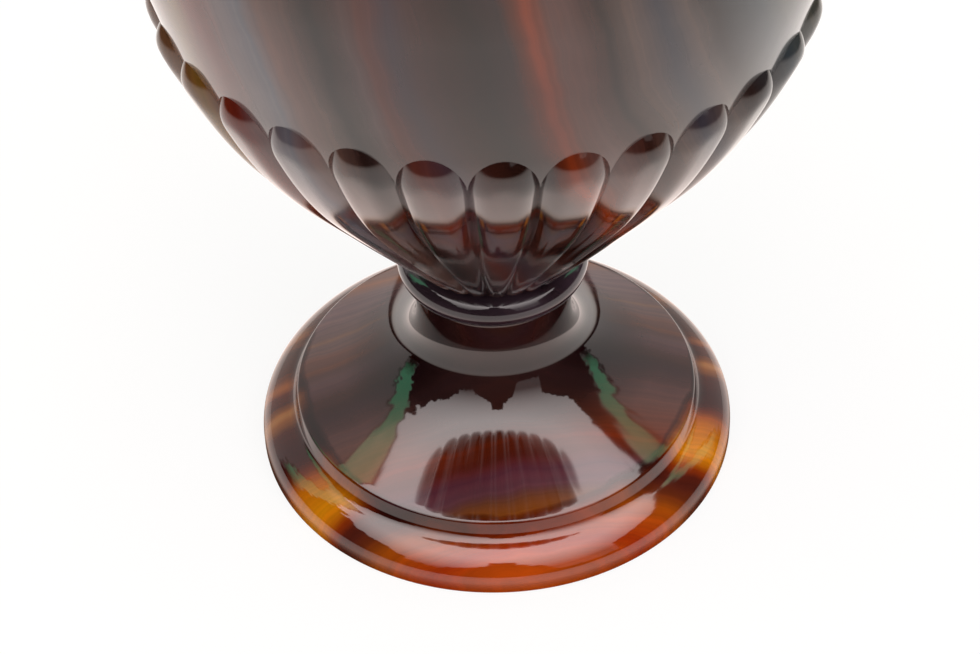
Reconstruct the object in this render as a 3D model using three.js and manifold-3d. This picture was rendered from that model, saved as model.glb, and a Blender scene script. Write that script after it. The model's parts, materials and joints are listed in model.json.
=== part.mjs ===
import * as THREE from 'three';
import { mergeVertices } from 'three/addons/utils/BufferGeometryUtils.js';
import Module from 'manifold-3d';

// A carved agate ewer, in millimetres, +Z up.
// The origin is the centre of the foot's resting ring, on the surface it stands on.
// The front is towards -Y, the pouring lip towards -X and the handle towards +X.
// The stone pieces are turned and carved one by one, set on each other with thin cement beds,
// and held by a threaded rod in the stem and by short dowels in the handle.

// Foot
const FOOT_RADIUS = 45;
const FOOT_HEIGHT = 38.3;
const RIM_BAND_HEIGHT = 1.9;
const RIM_ROUND_WIDTH = 8.8;
const RIM_ROUND_HEIGHT = 6.7;
const STEP_INSET = 7.15;
const STEP_RISE = 2.2;
const DOME_START_SLOPE = 22.5;
const DOME_LOW_PULL = 20;
const DOME_HIGH_PULL = 10;
const WAIST_RADIUS = 14.4;
const WAIST_BELOW_TOP = 6.3;
const FOOT_TOP_RADIUS = 14.8;
const RESTING_RING_WIDTH = 11;
const DISH_DEPTH = 1.5;
const FOOT_EDGE_BEVEL = 0.5;

// Stem bead
const BEAD_ROUND = 3.15;
const BEAD_RADIUS = 17.5;
const CAVETTO_HEIGHT = 1.3;
const CAVETTO_DEPTH = 0.4;
const BEAD_TOP_RADIUS = 15.2;

// Body
const BODY_SEAT_RADIUS = 16.6;
const BODY_START_SLOPE = 39.3;
const BODY_LOW_PULL = 64.7;
const BELLY_PULL_DOWN = 29;
const BELLY_RADIUS = 59.4;
const BELLY_ABOVE_SEAT = 88;
const BELLY_PULL_UP = 38;
const SHOULDER_PULL = 20;
const SHOULDER_ABOVE_BELLY = 64.3;
const BODY_TOP_RADIUS = 20;
const BELLY_WALL = 5.3;
const BASE_THICKNESS = 21.5;
const FLOOR_PULL = 30;
const CAVITY_LOW_PULL = 35;
const SHOULDER_WALL = 7;
const CAVITY_UP_PULL = 33;
const CAVITY_SHOULDER_PULL = 20;

// Lobes carved round the lower body
const LOBE_COUNT = 30;
const LOBE_TOP_ABOVE_SEAT = 64.6;
const LOBE_DEPTH = 1.9;
const LOBE_NOSE = 5.4;
const GROOVE_SHARE = 0.16;
const LOBE_TURN = 2.15;
const RECESS_RUN = 18;

// Neck ring, neck and pouring lip
const RING_HEIGHT = 7;
const RING_RADIUS = 22;
const NECK_SEAT_RADIUS = 17.2;
const NECK_HEIGHT = 55.5;
const NECK_WAIST_RADIUS = 14.8;
const NECK_WAIST_HEIGHT = 18;
const NECK_SEAT_PULL = 9;
const NECK_WAIST_PULL = 7;
const NECK_FLARE_PULL = 16;
const MOUTH_RADIUS = 22.5;
const MOUTH_PULL = 14;
const MOUTH_SLOPE = 65;
const NECK_WALL = 3.5;
const NECK_BORE_RADIUS = 10.2;
const NECK_TENON_LENGTH = 13.4;
const NECK_TENON_WALL = 3;
const LIP_REACH = 16;
const LIP_RISE = 9.5;
const LIP_PINCH = 0.2;
const LIP_START = 22;
const LIP_SHARPNESS = 2.4;

// Handle
const HANDLE_TOP_BELOW_MOUTH = 12.8;
const HANDLE_CREST_ABOVE_TOP = 23;
const HANDLE_CREST_OUT = 16;
const HANDLE_BACK_INSET = 3.1;
const HANDLE_BACK_BELOW_TOP = 8;
const HANDLE_FOOT_INSET = 14.8;
const HANDLE_HALF_WIDTH = 6.3;
const HANDLE_HALF_THICKNESS = 5;
const HANDLE_END_SWELL = 1.3;
const HANDLE_SWELL_POWER = 6;
const HANDLE_OUT_SHARE = 0.8;
const HANDLE_RISE_SHARE = 0.55;
const HANDLE_OVER_SHARE = 0.65;
const HANDLE_DROP_SHARE = 0.55;
const HANDLE_DOWN_SHARE = 0.4;
const HANDLE_LANDING_SHARE = 0.32;
const TOP_BOSS_RADIUS = 6.6;
const LOW_BOSS_RADIUS = 8.4;
const BOSS_RISE = 1.6;
const PIN_RADIUS = 1.2;
const PIN_IN_HANDLE = 5;
const PIN_IN_NECK = 3.2;
const PIN_IN_SHOULDER = 5;

// Stem rod, its sleeve, nut and washer
const ROD_RADIUS = 2.5;
const ROD_END_BELOW_NUT = 1.5;
const SLEEVE_RADIUS = 4.2;
const SLEEVE_LENGTH = 26;
const NUT_RADIUS = 5.4;
const NUT_HEIGHT = 4;
const NUT_SIDES = 6;
const WASHER_RADIUS = 10.4;
const WASHER_THICKNESS = 1.6;
const POCKET_RADIUS = 12;
const POCKET_DEPTH = 9.5;
const TENON_RADIUS = 8;
const TENON_DEPTH = 4.5;

// Joints
const BED = 0.4;
const BED_INSET = 0.6;
const PIN_BED = 0.5;
const CLEARANCE = 0.3;

// Facets
const FOOT_SIDES = 48;
const RING_SIDES = 36;
const BED_SIDES = 24;
const SMALL_SIDES = 16;
const FACETS_PER_LOBE = 5;
const HANDLE_SIDES = 12;
const HANDLE_STEPS = 34;
const RIM_STEPS = 7;
const DOME_STEPS = 9;
const ROUND_STEPS = 9;
const LOBE_STEPS = 9;
const BELLY_STEPS = 4;
const SHOULDER_STEPS = 7;
const CAVITY_STEPS = 6;
const NECK_STEPS = 5;
const NOSE_STEPS = 4;
const OVERCUT = 1;

const RIGHT_ANGLE = Math.PI / 2;
const FULL_TURN = 2 * Math.PI;
const radians = THREE.MathUtils.degToRad;

// Heights of the stack, from the table up
const STEP_RADIUS = FOOT_RADIUS - STEP_INSET;
const BEAD_SEAT_RADIUS = BEAD_RADIUS - BEAD_ROUND;
const BEAD_Z = FOOT_HEIGHT + BED;
const BEAD_HEIGHT = 2 * BEAD_ROUND + CAVETTO_HEIGHT;
const BODY_Z = BEAD_Z + BEAD_HEIGHT + BED;
const BELLY_Z = BODY_Z + BELLY_ABOVE_SEAT;
const BODY_TOP_Z = BELLY_Z + SHOULDER_ABOVE_BELLY;
const LOBE_TOP_Z = BODY_Z + LOBE_TOP_ABOVE_SEAT;
const RING_Z = BODY_TOP_Z + BED;
const NECK_Z = RING_Z + RING_HEIGHT + BED;
const MOUTH_Z = NECK_Z + NECK_HEIGHT;
const TENON_Z = FOOT_HEIGHT - TENON_DEPTH;
const NECK_TENON_RADIUS = NECK_BORE_RADIUS + NECK_TENON_WALL;
const BODY_MOUTH_RADIUS = NECK_TENON_RADIUS + CLEARANCE;

const wasm = await Module();
wasm.setup();

// A three.js geometry without its seams, as a solid that can be cut and joined.
function solid(geometry) {
  const plain = geometry.clone();
  plain.deleteAttribute('normal');
  plain.deleteAttribute('uv');
  const merged = mergeVertices(plain, 1e-4);
  const vertProperties = new Float32Array(merged.attributes.position.array);
  const triVerts = new Uint32Array(merged.index.array);
  return new wasm.Manifold(new wasm.Mesh({ numProp: 3, vertProperties, triVerts }));
}

// The solid's surface, back as a three.js geometry.
function surface(body) {
  const mesh = body.getMesh();
  const geometry = new THREE.BufferGeometry();
  geometry.setAttribute('position', new THREE.BufferAttribute(mesh.vertProperties, 3));
  geometry.setIndex(new THREE.BufferAttribute(mesh.triVerts, 1));
  geometry.computeVertexNormals();
  return geometry;
}

// A turned shape about Z. The outline is a list of [radius, height] points.
function turned(outline, sides, start = 0) {
  const points = outline.map(([radius, height]) => new THREE.Vector2(radius, height));
  const geometry = new THREE.LatheGeometry(points, sides, start);
  geometry.rotateX(RIGHT_ANGLE);
  return geometry;
}

// A turned ring between two radii and two heights.
function washerRing(inner, outer, low, high, sides) {
  const outline = [[inner, low], [outer, low], [outer, high], [inner, high], [inner, low]];
  return turned(outline, sides);
}

// A round bar about Z, from one height to another.
function bar(radius, low, high, sides) {
  return turned([[0, low], [radius, low], [radius, high], [0, high]], sides);
}

// Points along a curve in the [radius, height] plane, without its first point.
function along(curve, steps) {
  return curve.getPoints(steps).slice(1).map((point) => [point.x, point.y]);
}

function cubic(a, b, c, d) {
  return new THREE.CubicBezierCurve(...[a, b, c, d].map(([x, y]) => new THREE.Vector2(x, y)));
}

// The place on a curve where one coordinate has a value, found by halving.
function placeOn(curve, axis, value) {
  const rising = curve.getPoint(1)[axis] > curve.getPoint(0)[axis];
  let low = 0;
  let high = 1;
  for (let i = 0; i < 40; i += 1) {
    const middle = (low + high) / 2;
    if ((curve.getPoint(middle)[axis] < value) === rising) {
      low = middle;
    } else {
      high = middle;
    }
  }
  return (low + high) / 2;
}

// Evenly spaced numbers from a first to a last, both included.
function spaced(first, last, count) {
  return Array.from({ length: count }, (_, i) => first + ((last - first) * i) / (count - 1));
}

function smooth(value) {
  return THREE.MathUtils.smoothstep(value, 0, 1);
}

const object = new THREE.Group();

function add(name, geometry, color, roughness, metalness) {
  const material = new THREE.MeshStandardMaterial({ color, roughness, metalness });
  const mesh = new THREE.Mesh(geometry, material);
  mesh.name = name;
  object.add(mesh);
}

function addAgate(name, geometry, color) {
  add(name, geometry, color, 0.12, 0);
}

function addBrass(name, geometry) {
  add(name, geometry, 0xb08d4a, 0.35, 1);
}

function addCement(name, geometry) {
  add(name, geometry, 0xc9bda4, 0.8, 0);
}

// Foot: a disc with a half-round rim, a sharp step, a hollow-curved dome and a short neck.
function footGeometry() {
  const outline = [[0, POCKET_DEPTH], [POCKET_RADIUS, POCKET_DEPTH], [POCKET_RADIUS, DISH_DEPTH]];
  const ringInner = FOOT_RADIUS - RESTING_RING_WIDTH;
  outline.push([ringInner - DISH_DEPTH, DISH_DEPTH], [ringInner, 0]);
  outline.push([FOOT_RADIUS - FOOT_EDGE_BEVEL, 0], [FOOT_RADIUS, FOOT_EDGE_BEVEL]);
  outline.push([FOOT_RADIUS, RIM_BAND_HEIGHT]);
  const inset = Math.min(STEP_INSET / RIM_ROUND_WIDTH, 1);
  const lastAngle = Math.acos(1 - inset);
  for (const angle of spaced(0, lastAngle, RIM_STEPS).slice(1)) {
    const radius = FOOT_RADIUS - RIM_ROUND_WIDTH * (1 - Math.cos(angle));
    outline.push([radius, RIM_BAND_HEIGHT + RIM_ROUND_HEIGHT * Math.sin(angle)]);
  }
  const stepFoot = outline[outline.length - 1][1];
  const stepTop = stepFoot + STEP_RISE;
  outline.push([STEP_RADIUS, stepTop]);
  const slope = radians(DOME_START_SLOPE);
  const waistZ = FOOT_HEIGHT - WAIST_BELOW_TOP;
  const dome = cubic(
    [STEP_RADIUS, stepTop],
    [STEP_RADIUS - DOME_LOW_PULL * Math.cos(slope), stepTop + DOME_LOW_PULL * Math.sin(slope)],
    [WAIST_RADIUS, waistZ - DOME_HIGH_PULL],
    [WAIST_RADIUS, waistZ],
  );
  outline.push(...along(dome, DOME_STEPS));
  outline.push([FOOT_TOP_RADIUS, FOOT_HEIGHT], [0, FOOT_HEIGHT]);
  const rodHole = bar(ROD_RADIUS + CLEARANCE, 0, FOOT_HEIGHT, SMALL_SIDES);
  const socket = bar(TENON_RADIUS + CLEARANCE, TENON_Z, FOOT_HEIGHT + OVERCUT, RING_SIDES);
  return surface(solid(turned(outline, FOOT_SIDES)).subtract(solid(rodHole)).subtract(solid(socket)));
}

// Stem bead: a half-round ring with a hollow curve above it, threaded on the body's tenon.
function beadGeometry() {
  const bore = TENON_RADIUS + CLEARANCE;
  const centre = BEAD_Z + BEAD_ROUND;
  const top = BEAD_Z + BEAD_HEIGHT;
  const outline = [[bore, BEAD_Z]];
  for (const angle of spaced(-RIGHT_ANGLE, RIGHT_ANGLE, ROUND_STEPS)) {
    const radius = BEAD_SEAT_RADIUS + BEAD_ROUND * Math.cos(angle);
    outline.push([radius, centre + BEAD_ROUND * Math.sin(angle)]);
  }
  const cavettoMiddle = top - CAVETTO_HEIGHT / 2;
  outline.push([BEAD_SEAT_RADIUS - CAVETTO_DEPTH, cavettoMiddle]);
  outline.push([BEAD_TOP_RADIUS, top], [bore, top], [bore, BEAD_Z]);
  return turned(outline, RING_SIDES);
}

// The body's outside before the lobes are cut: the crests of the lobes lie on this line.
const lowSlope = radians(BODY_START_SLOPE);
const lowerLine = cubic(
  [BODY_SEAT_RADIUS, BODY_Z],
  [
    BODY_SEAT_RADIUS + BODY_LOW_PULL * Math.sin(lowSlope),
    BODY_Z + BODY_LOW_PULL * Math.cos(lowSlope),
  ],
  [BELLY_RADIUS, BELLY_Z - BELLY_PULL_DOWN],
  [BELLY_RADIUS, BELLY_Z],
);
const shoulderLine = cubic(
  [BELLY_RADIUS, BELLY_Z],
  [BELLY_RADIUS, BELLY_Z + BELLY_PULL_UP],
  [BODY_TOP_RADIUS + SHOULDER_PULL, BODY_TOP_Z],
  [BODY_TOP_RADIUS, BODY_TOP_Z],
);

// Depth of the grooves at a height. They follow the lobes' pitch and run out above the lobes.
function grooveDepth(radius, height) {
  const fade = 1 - smooth((height - LOBE_TOP_Z + LOBE_NOSE) / (RECESS_RUN + LOBE_NOSE));
  return (LOBE_DEPTH * radius * fade) / BELLY_RADIUS;
}

// How much of the groove depth a lobe fills at an angle and height: 1 on its crest, 0 off it.
function lobeFill(angle, height) {
  const turns = ((angle - radians(LOBE_TURN)) * LOBE_COUNT) / FULL_TURN;
  const across = (turns - Math.round(turns)) / (0.5 - GROOVE_SHARE / 2);
  const nose = Math.max(0, (height - LOBE_TOP_Z + LOBE_NOSE) / LOBE_NOSE);
  return Math.sqrt(Math.max(0, 1 - across * across - nose * nose));
}

function carveLobes(geometry) {
  const position = geometry.attributes.position;
  for (let i = 0; i < position.count; i += 1) {
    const x = position.getX(i);
    const y = position.getY(i);
    const z = position.getZ(i);
    const radius = Math.hypot(x, y);
    if (radius > TENON_RADIUS && z < BELLY_Z) {
      const angle = Math.atan2(x, -y);
      const scale = 1 - (grooveDepth(radius, z) * (1 - lobeFill(angle, z))) / radius;
      position.setXY(i, x * scale, y * scale);
    }
  }
}

// A unit vector square to the shoulder, where the handle stands on it, and the place itself.
const shoulderPlace = placeOn(shoulderLine, 'x', BELLY_RADIUS - HANDLE_FOOT_INSET);
const shoulderPoint = shoulderLine.getPoint(shoulderPlace);
const shoulderTangent = shoulderLine.getTangent(shoulderPlace);
const shoulderNormal = new THREE.Vector3(shoulderTangent.y, 0, -shoulderTangent.x);
const handleFoot = new THREE.Vector3(shoulderPoint.x, 0, shoulderPoint.y);

// A round bar along a direction, between two distances from a point.
function barAlong(point, direction, radius, near, far) {
  const geometry = bar(radius, near, far, SMALL_SIDES);
  const turn = new THREE.Quaternion().setFromUnitVectors(new THREE.Vector3(0, 0, 1), direction);
  geometry.applyQuaternion(turn);
  geometry.translate(point.x, point.y, point.z);
  return geometry;
}

// Body: a carved, hollow egg with a tenon below, a mouth above and a boss for the handle.
function bodyGeometry() {
  const lobeStart = LOBE_TOP_Z - LOBE_NOSE;
  const heights = spaced(BODY_Z, lobeStart, LOBE_STEPS).slice(1);
  const noseAngles = spaced(0, RIGHT_ANGLE, NOSE_STEPS + 1).slice(1);
  heights.push(...noseAngles.map((angle) => lobeStart + LOBE_NOSE * Math.sin(angle)));
  heights.push(...spaced(LOBE_TOP_Z, BELLY_Z, BELLY_STEPS).slice(1));
  const outline = [[0, BODY_Z], [BODY_SEAT_RADIUS, BODY_Z]];
  for (const height of heights) {
    outline.push([lowerLine.getPoint(placeOn(lowerLine, 'y', height)).x, height]);
  }
  outline.push(...along(shoulderLine, SHOULDER_STEPS), [0, BODY_TOP_Z]);
  const outside = turned(outline, LOBE_COUNT * FACETS_PER_LOBE, radians(LOBE_TURN));
  carveLobes(outside);

  const floorZ = BODY_Z + BASE_THICKNESS;
  const innerBelly = BELLY_RADIUS - BELLY_WALL;
  const lowerCavity = cubic(
    [0, floorZ],
    [FLOOR_PULL, floorZ],
    [innerBelly, BELLY_Z - CAVITY_LOW_PULL],
    [innerBelly, BELLY_Z],
  );
  const upperCavity = cubic(
    [innerBelly, BELLY_Z],
    [innerBelly, BELLY_Z + CAVITY_UP_PULL],
    [BODY_MOUTH_RADIUS + CAVITY_SHOULDER_PULL, BODY_TOP_Z - SHOULDER_WALL],
    [BODY_MOUTH_RADIUS, BODY_TOP_Z - SHOULDER_WALL],
  );
  const cavity = [[0, floorZ], ...along(lowerCavity, CAVITY_STEPS)];
  cavity.push(...along(upperCavity, CAVITY_STEPS));
  cavity.push([BODY_MOUTH_RADIUS, BODY_TOP_Z + OVERCUT], [0, BODY_TOP_Z + OVERCUT]);

  const boss = barAlong(handleFoot, shoulderNormal, LOW_BOSS_RADIUS, -SHOULDER_WALL / 2, BOSS_RISE);
  const pinHole = barAlong(
    handleFoot,
    shoulderNormal,
    PIN_RADIUS + CLEARANCE,
    -PIN_IN_SHOULDER - CLEARANCE,
    BOSS_RISE + OVERCUT,
  );
  const tenon = bar(TENON_RADIUS, TENON_Z + CLEARANCE, BODY_Z + OVERCUT, RING_SIDES);
  const sleeveTop = TENON_Z + 2 * CLEARANCE + SLEEVE_LENGTH;
  const sleeveHole = bar(SLEEVE_RADIUS + CLEARANCE, TENON_Z, sleeveTop, SMALL_SIDES);
  return surface(
    solid(outside)
      .add(solid(boss))
      .add(solid(tenon))
      .subtract(solid(turned(cavity, RING_SIDES)))
      .subtract(solid(pinHole))
      .subtract(solid(sleeveHole)),
  );
}

// Neck ring: a half-round collar between the shoulder and the neck, round the neck's tenon.
function ringGeometry() {
  const round = RING_HEIGHT / 2;
  const outline = [[BODY_MOUTH_RADIUS, RING_Z]];
  for (const angle of spaced(-RIGHT_ANGLE, RIGHT_ANGLE, ROUND_STEPS)) {
    const radius = RING_RADIUS - round * (1 - Math.cos(angle));
    outline.push([radius, RING_Z + round * (1 + Math.sin(angle))]);
  }
  outline.push([BODY_MOUTH_RADIUS, RING_Z + RING_HEIGHT], [BODY_MOUTH_RADIUS, RING_Z]);
  return turned(outline, RING_SIDES);
}

// The neck's outside line, from its seat in to the waist and out to the mouth.
const neckWaistZ = NECK_Z + NECK_WAIST_HEIGHT;
const mouthSlope = radians(MOUTH_SLOPE);
const neckLine = new THREE.CurvePath();
neckLine.add(
  cubic(
    [NECK_SEAT_RADIUS, NECK_Z],
    [NECK_WAIST_RADIUS, NECK_Z + NECK_SEAT_PULL],
    [NECK_WAIST_RADIUS, neckWaistZ - NECK_WAIST_PULL],
    [NECK_WAIST_RADIUS, neckWaistZ],
  ),
);
neckLine.add(
  cubic(
    [NECK_WAIST_RADIUS, neckWaistZ],
    [NECK_WAIST_RADIUS, neckWaistZ + NECK_FLARE_PULL],
    [
      MOUTH_RADIUS - MOUTH_PULL * Math.cos(mouthSlope),
      MOUTH_Z - MOUTH_PULL * Math.sin(mouthSlope),
    ],
    [MOUTH_RADIUS, MOUTH_Z],
  ),
);

// The lip is drawn out of the mouth: points on the -X side move out, up and in towards the middle.
function drawLip(geometry) {
  const position = geometry.attributes.position;
  const start = NECK_Z + LIP_START;
  for (let i = 0; i < position.count; i += 1) {
    const x = position.getX(i);
    const y = position.getY(i);
    const z = position.getZ(i);
    const share = smooth((z - start) / (MOUTH_Z - start)) ** 2;
    const facing = Math.max(0, -x / (Math.hypot(x, y) || 1));
    const drawn = facing ** LIP_SHARPNESS * share;
    const narrowed = y * (1 - LIP_PINCH * share * facing);
    position.setXYZ(i, x - LIP_REACH * drawn, narrowed, z + LIP_RISE * drawn);
  }
}

function neckRadius(height) {
  return neckLine.getPoint(placeOn(neckLine, 'y', height)).x;
}

// Where the handle meets the neck: the boss stands square to X, clear of the flare above it.
const handleTopZ = MOUTH_Z - HANDLE_TOP_BELOW_MOUTH;
const handleTop = new THREE.Vector3(neckRadius(handleTopZ + TOP_BOSS_RADIUS), 0, handleTopZ);
const topBossRoot = handleTop.x - neckRadius(handleTopZ - TOP_BOSS_RADIUS) + NECK_WALL / 2;
const outward = new THREE.Vector3(1, 0, 0);

// Neck: a flaring tube with a pouring lip, a tenon below and a boss for the handle.
function neckGeometry() {
  const tenonLow = NECK_Z - NECK_TENON_LENGTH;
  const rimZ = MOUTH_Z + NECK_WALL / 3;
  const outer = along(neckLine, NECK_STEPS);
  const outline = [[0, tenonLow], [NECK_TENON_RADIUS, tenonLow], [NECK_TENON_RADIUS, NECK_Z]];
  outline.push([NECK_SEAT_RADIUS, NECK_Z], ...outer, [MOUTH_RADIUS - NECK_WALL / 2, rimZ], [0, rimZ]);
  const boreLow = tenonLow - OVERCUT;
  const boreHigh = rimZ + OVERCUT;
  const bore = [[0, boreLow], [NECK_BORE_RADIUS, boreLow], [NECK_BORE_RADIUS, neckWaistZ]];
  for (const [radius, height] of outer.filter((point) => point[1] > neckWaistZ)) {
    bore.push([radius - NECK_WALL, height]);
  }
  bore.push([MOUTH_RADIUS - NECK_WALL, boreHigh], [0, boreHigh]);
  const outside = turned(outline, RING_SIDES);
  const inside = turned(bore, RING_SIDES);
  drawLip(outside);
  drawLip(inside);
  const boss = barAlong(handleTop, outward, TOP_BOSS_RADIUS, -topBossRoot, BOSS_RISE);
  const pinHole = barAlong(
    handleTop,
    outward,
    PIN_RADIUS + CLEARANCE,
    BOSS_RISE - PIN_IN_NECK - CLEARANCE,
    BOSS_RISE + OVERCUT,
  );
  const shell = solid(outside).add(solid(boss)).subtract(solid(inside));
  return surface(shell.subtract(solid(pinHole)));
}

// The handle's middle line: out of the neck, up and over a crest, down its back to the shoulder.
const joint = BOSS_RISE + PIN_BED + 2 * CLEARANCE;
const lineStart = handleTop.clone().addScaledVector(outward, joint);
const lineEnd = handleFoot.clone().addScaledVector(shoulderNormal, joint);
const crest = new THREE.Vector3(MOUTH_RADIUS + HANDLE_CREST_OUT, 0, handleTopZ + HANDLE_CREST_ABOVE_TOP);
const back = new THREE.Vector3(BELLY_RADIUS - HANDLE_BACK_INSET, 0, handleTopZ - HANDLE_BACK_BELOW_TOP);

function shifted(point, x, z) {
  return new THREE.Vector3(point.x + x, 0, point.z + z);
}

const handleLine = new THREE.CurvePath();
const crestDrop = crest.z - back.z;
handleLine.add(
  new THREE.CubicBezierCurve3(
    lineStart,
    shifted(lineStart, (crest.x - lineStart.x) * HANDLE_OUT_SHARE, 0),
    shifted(crest, (lineStart.x - crest.x) * HANDLE_RISE_SHARE, 0),
    crest,
  ),
);
handleLine.add(
  new THREE.CubicBezierCurve3(
    crest,
    shifted(crest, (back.x - crest.x) * HANDLE_OVER_SHARE, 0),
    shifted(back, 0, crestDrop * HANDLE_DROP_SHARE),
    back,
  ),
);
handleLine.add(
  new THREE.CubicBezierCurve3(
    back,
    shifted(back, 0, (lineEnd.z - back.z) * HANDLE_DOWN_SHARE),
    lineEnd.clone().addScaledVector(shoulderNormal, (back.z - lineEnd.z) * HANDLE_LANDING_SHARE),
    lineEnd,
  ),
);

// A capped cylinder bent along the handle's line. It swells towards both ends.
function handleGeometry() {
  const geometry = new THREE.CylinderGeometry(1, 1, 1, HANDLE_SIDES, HANDLE_STEPS);
  const position = geometry.attributes.position;
  for (let i = 0; i < position.count; i += 1) {
    const place = THREE.MathUtils.clamp(position.getY(i) + 0.5, 0, 1);
    const centre = handleLine.getPointAt(place);
    const tangent = handleLine.getTangentAt(place);
    const swell = 1 + (HANDLE_END_SWELL - 1) * (2 * place - 1) ** HANDLE_SWELL_POWER;
    const across = position.getZ(i) * HANDLE_HALF_WIDTH * swell;
    const inward = position.getX(i) * HANDLE_HALF_THICKNESS * swell;
    const x = centre.x - tangent.z * inward;
    const z = centre.z + tangent.x * inward;
    position.setXYZ(i, x, across, z);
  }
  const hole = PIN_RADIUS + CLEARANCE;
  const depth = joint + PIN_IN_HANDLE + CLEARANCE;
  return surface(
    solid(geometry)
      .subtract(solid(barAlong(handleTop, outward, hole, joint - OVERCUT, depth)))
      .subtract(solid(barAlong(handleFoot, shoulderNormal, hole, joint - OVERCUT, depth))),
  );
}

// Cement disc with a hole for the dowel, in the joint between a boss and the handle's end.
function pinBed(point, direction, radius) {
  const near = BOSS_RISE + CLEARANCE;
  const geometry = washerRing(PIN_RADIUS + CLEARANCE, radius, near, near + PIN_BED, SMALL_SIDES);
  const turn = new THREE.Quaternion().setFromUnitVectors(new THREE.Vector3(0, 0, 1), direction);
  geometry.applyQuaternion(turn);
  geometry.translate(point.x, point.y, point.z);
  return geometry;
}

// Hexagon nut on the rod, under the washer.
function nutGeometry(low, high) {
  const hole = solid(bar(ROD_RADIUS + CLEARANCE, low - OVERCUT, high + OVERCUT, SMALL_SIDES));
  return surface(solid(bar(NUT_RADIUS, low, high, NUT_SIDES)).subtract(hole));
}

const washerLow = POCKET_DEPTH - WASHER_THICKNESS;
const nutLow = washerLow - NUT_HEIGHT;
const rodLow = nutLow - ROD_END_BELOW_NUT;
const sleeveLow = TENON_Z + CLEARANCE;
const sleeveHigh = sleeveLow + SLEEVE_LENGTH;
const rodBore = ROD_RADIUS + CLEARANCE;
const handleEndRadius = HANDLE_HALF_THICKNESS * HANDLE_END_SWELL;

addAgate('foot', footGeometry(), 0x6b4a3a);
addAgate('stem_bead', beadGeometry(), 0x4a3a42);
addAgate('body', bodyGeometry(), 0x6f6360);
addAgate('neck_ring', ringGeometry(), 0x5a4a4c);
addAgate('neck', neckGeometry(), 0x74645f);
addAgate('handle', handleGeometry(), 0x6b4a3a);

addCement(
  'foot_cement',
  washerRing(TENON_RADIUS + CLEARANCE, BEAD_SEAT_RADIUS - BED_INSET, FOOT_HEIGHT, BEAD_Z, BED_SIDES),
);
addCement(
  'bead_cement',
  washerRing(TENON_RADIUS + CLEARANCE, BEAD_TOP_RADIUS - BED_INSET, BODY_Z - BED, BODY_Z, BED_SIDES),
);
addCement(
  'ring_cement',
  washerRing(BODY_MOUTH_RADIUS, RING_RADIUS - RING_HEIGHT / 2 - BED_INSET, BODY_TOP_Z, RING_Z, BED_SIDES),
);
addCement(
  'neck_cement',
  washerRing(BODY_MOUTH_RADIUS, NECK_SEAT_RADIUS - BED_INSET, NECK_Z - BED, NECK_Z, BED_SIDES),
);
addCement('handle_top_cement', pinBed(handleTop, outward, handleEndRadius - BED_INSET));
addCement('handle_low_cement', pinBed(handleFoot, shoulderNormal, handleEndRadius - BED_INSET));

addBrass(
  'handle_top_pin',
  barAlong(handleTop, outward, PIN_RADIUS, BOSS_RISE - PIN_IN_NECK, joint + PIN_IN_HANDLE),
);
addBrass(
  'handle_low_pin',
  barAlong(handleFoot, shoulderNormal, PIN_RADIUS, -PIN_IN_SHOULDER, joint + PIN_IN_HANDLE),
);
addBrass('stem_rod', bar(ROD_RADIUS, rodLow, sleeveHigh - CLEARANCE, SMALL_SIDES));
addBrass('rod_sleeve', washerRing(rodBore, SLEEVE_RADIUS, sleeveLow, sleeveHigh, SMALL_SIDES));
addBrass('stem_nut', nutGeometry(nutLow, washerLow));
add(
  'stem_washer',
  washerRing(rodBore, WASHER_RADIUS, washerLow, POCKET_DEPTH, SMALL_SIDES),
  0x7a5232,
  0.85,
  0,
);

export default object;
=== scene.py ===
# %% [markdown]
# # A carved agate ewer
#
# The ewer is a stack of turned and carved stones: a stepped foot, a small bead on its stem,
# a lobed egg-shaped body, a collar and a neck with a pouring lip, with a loop handle beside them.
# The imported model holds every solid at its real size. This script keeps the sizes, makes the
# same surfaces finer, and gives the stone, the cement, the brass and the leather their finishes.
#
# The solids are faceted, and a polished stone shows each facet as a broken reflection.
# So the six stones are worked out again here, with the same formulas and many more points.

import json
import math

import bpy
import numpy as np
from mathutils import Matrix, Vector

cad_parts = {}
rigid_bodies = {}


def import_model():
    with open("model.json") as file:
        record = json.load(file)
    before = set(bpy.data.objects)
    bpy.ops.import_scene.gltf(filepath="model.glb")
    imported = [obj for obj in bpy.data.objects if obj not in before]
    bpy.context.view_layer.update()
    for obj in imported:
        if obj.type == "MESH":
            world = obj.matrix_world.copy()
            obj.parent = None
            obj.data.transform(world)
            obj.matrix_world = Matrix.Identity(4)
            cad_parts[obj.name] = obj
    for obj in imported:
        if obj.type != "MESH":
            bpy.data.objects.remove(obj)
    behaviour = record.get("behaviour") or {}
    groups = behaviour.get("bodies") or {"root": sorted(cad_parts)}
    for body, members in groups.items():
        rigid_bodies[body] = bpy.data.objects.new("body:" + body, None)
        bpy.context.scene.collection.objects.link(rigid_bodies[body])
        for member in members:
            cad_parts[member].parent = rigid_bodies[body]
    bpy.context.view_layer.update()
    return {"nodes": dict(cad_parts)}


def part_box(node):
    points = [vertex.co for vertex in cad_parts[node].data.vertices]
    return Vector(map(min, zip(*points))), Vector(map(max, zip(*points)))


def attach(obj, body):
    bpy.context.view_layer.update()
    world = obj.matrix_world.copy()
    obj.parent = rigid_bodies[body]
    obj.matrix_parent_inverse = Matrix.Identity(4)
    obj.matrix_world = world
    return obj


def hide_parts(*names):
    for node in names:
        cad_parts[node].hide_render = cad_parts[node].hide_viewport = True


for thing in list(bpy.data.objects):
    bpy.data.objects.remove(thing)
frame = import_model()
MM = 0.001

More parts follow.
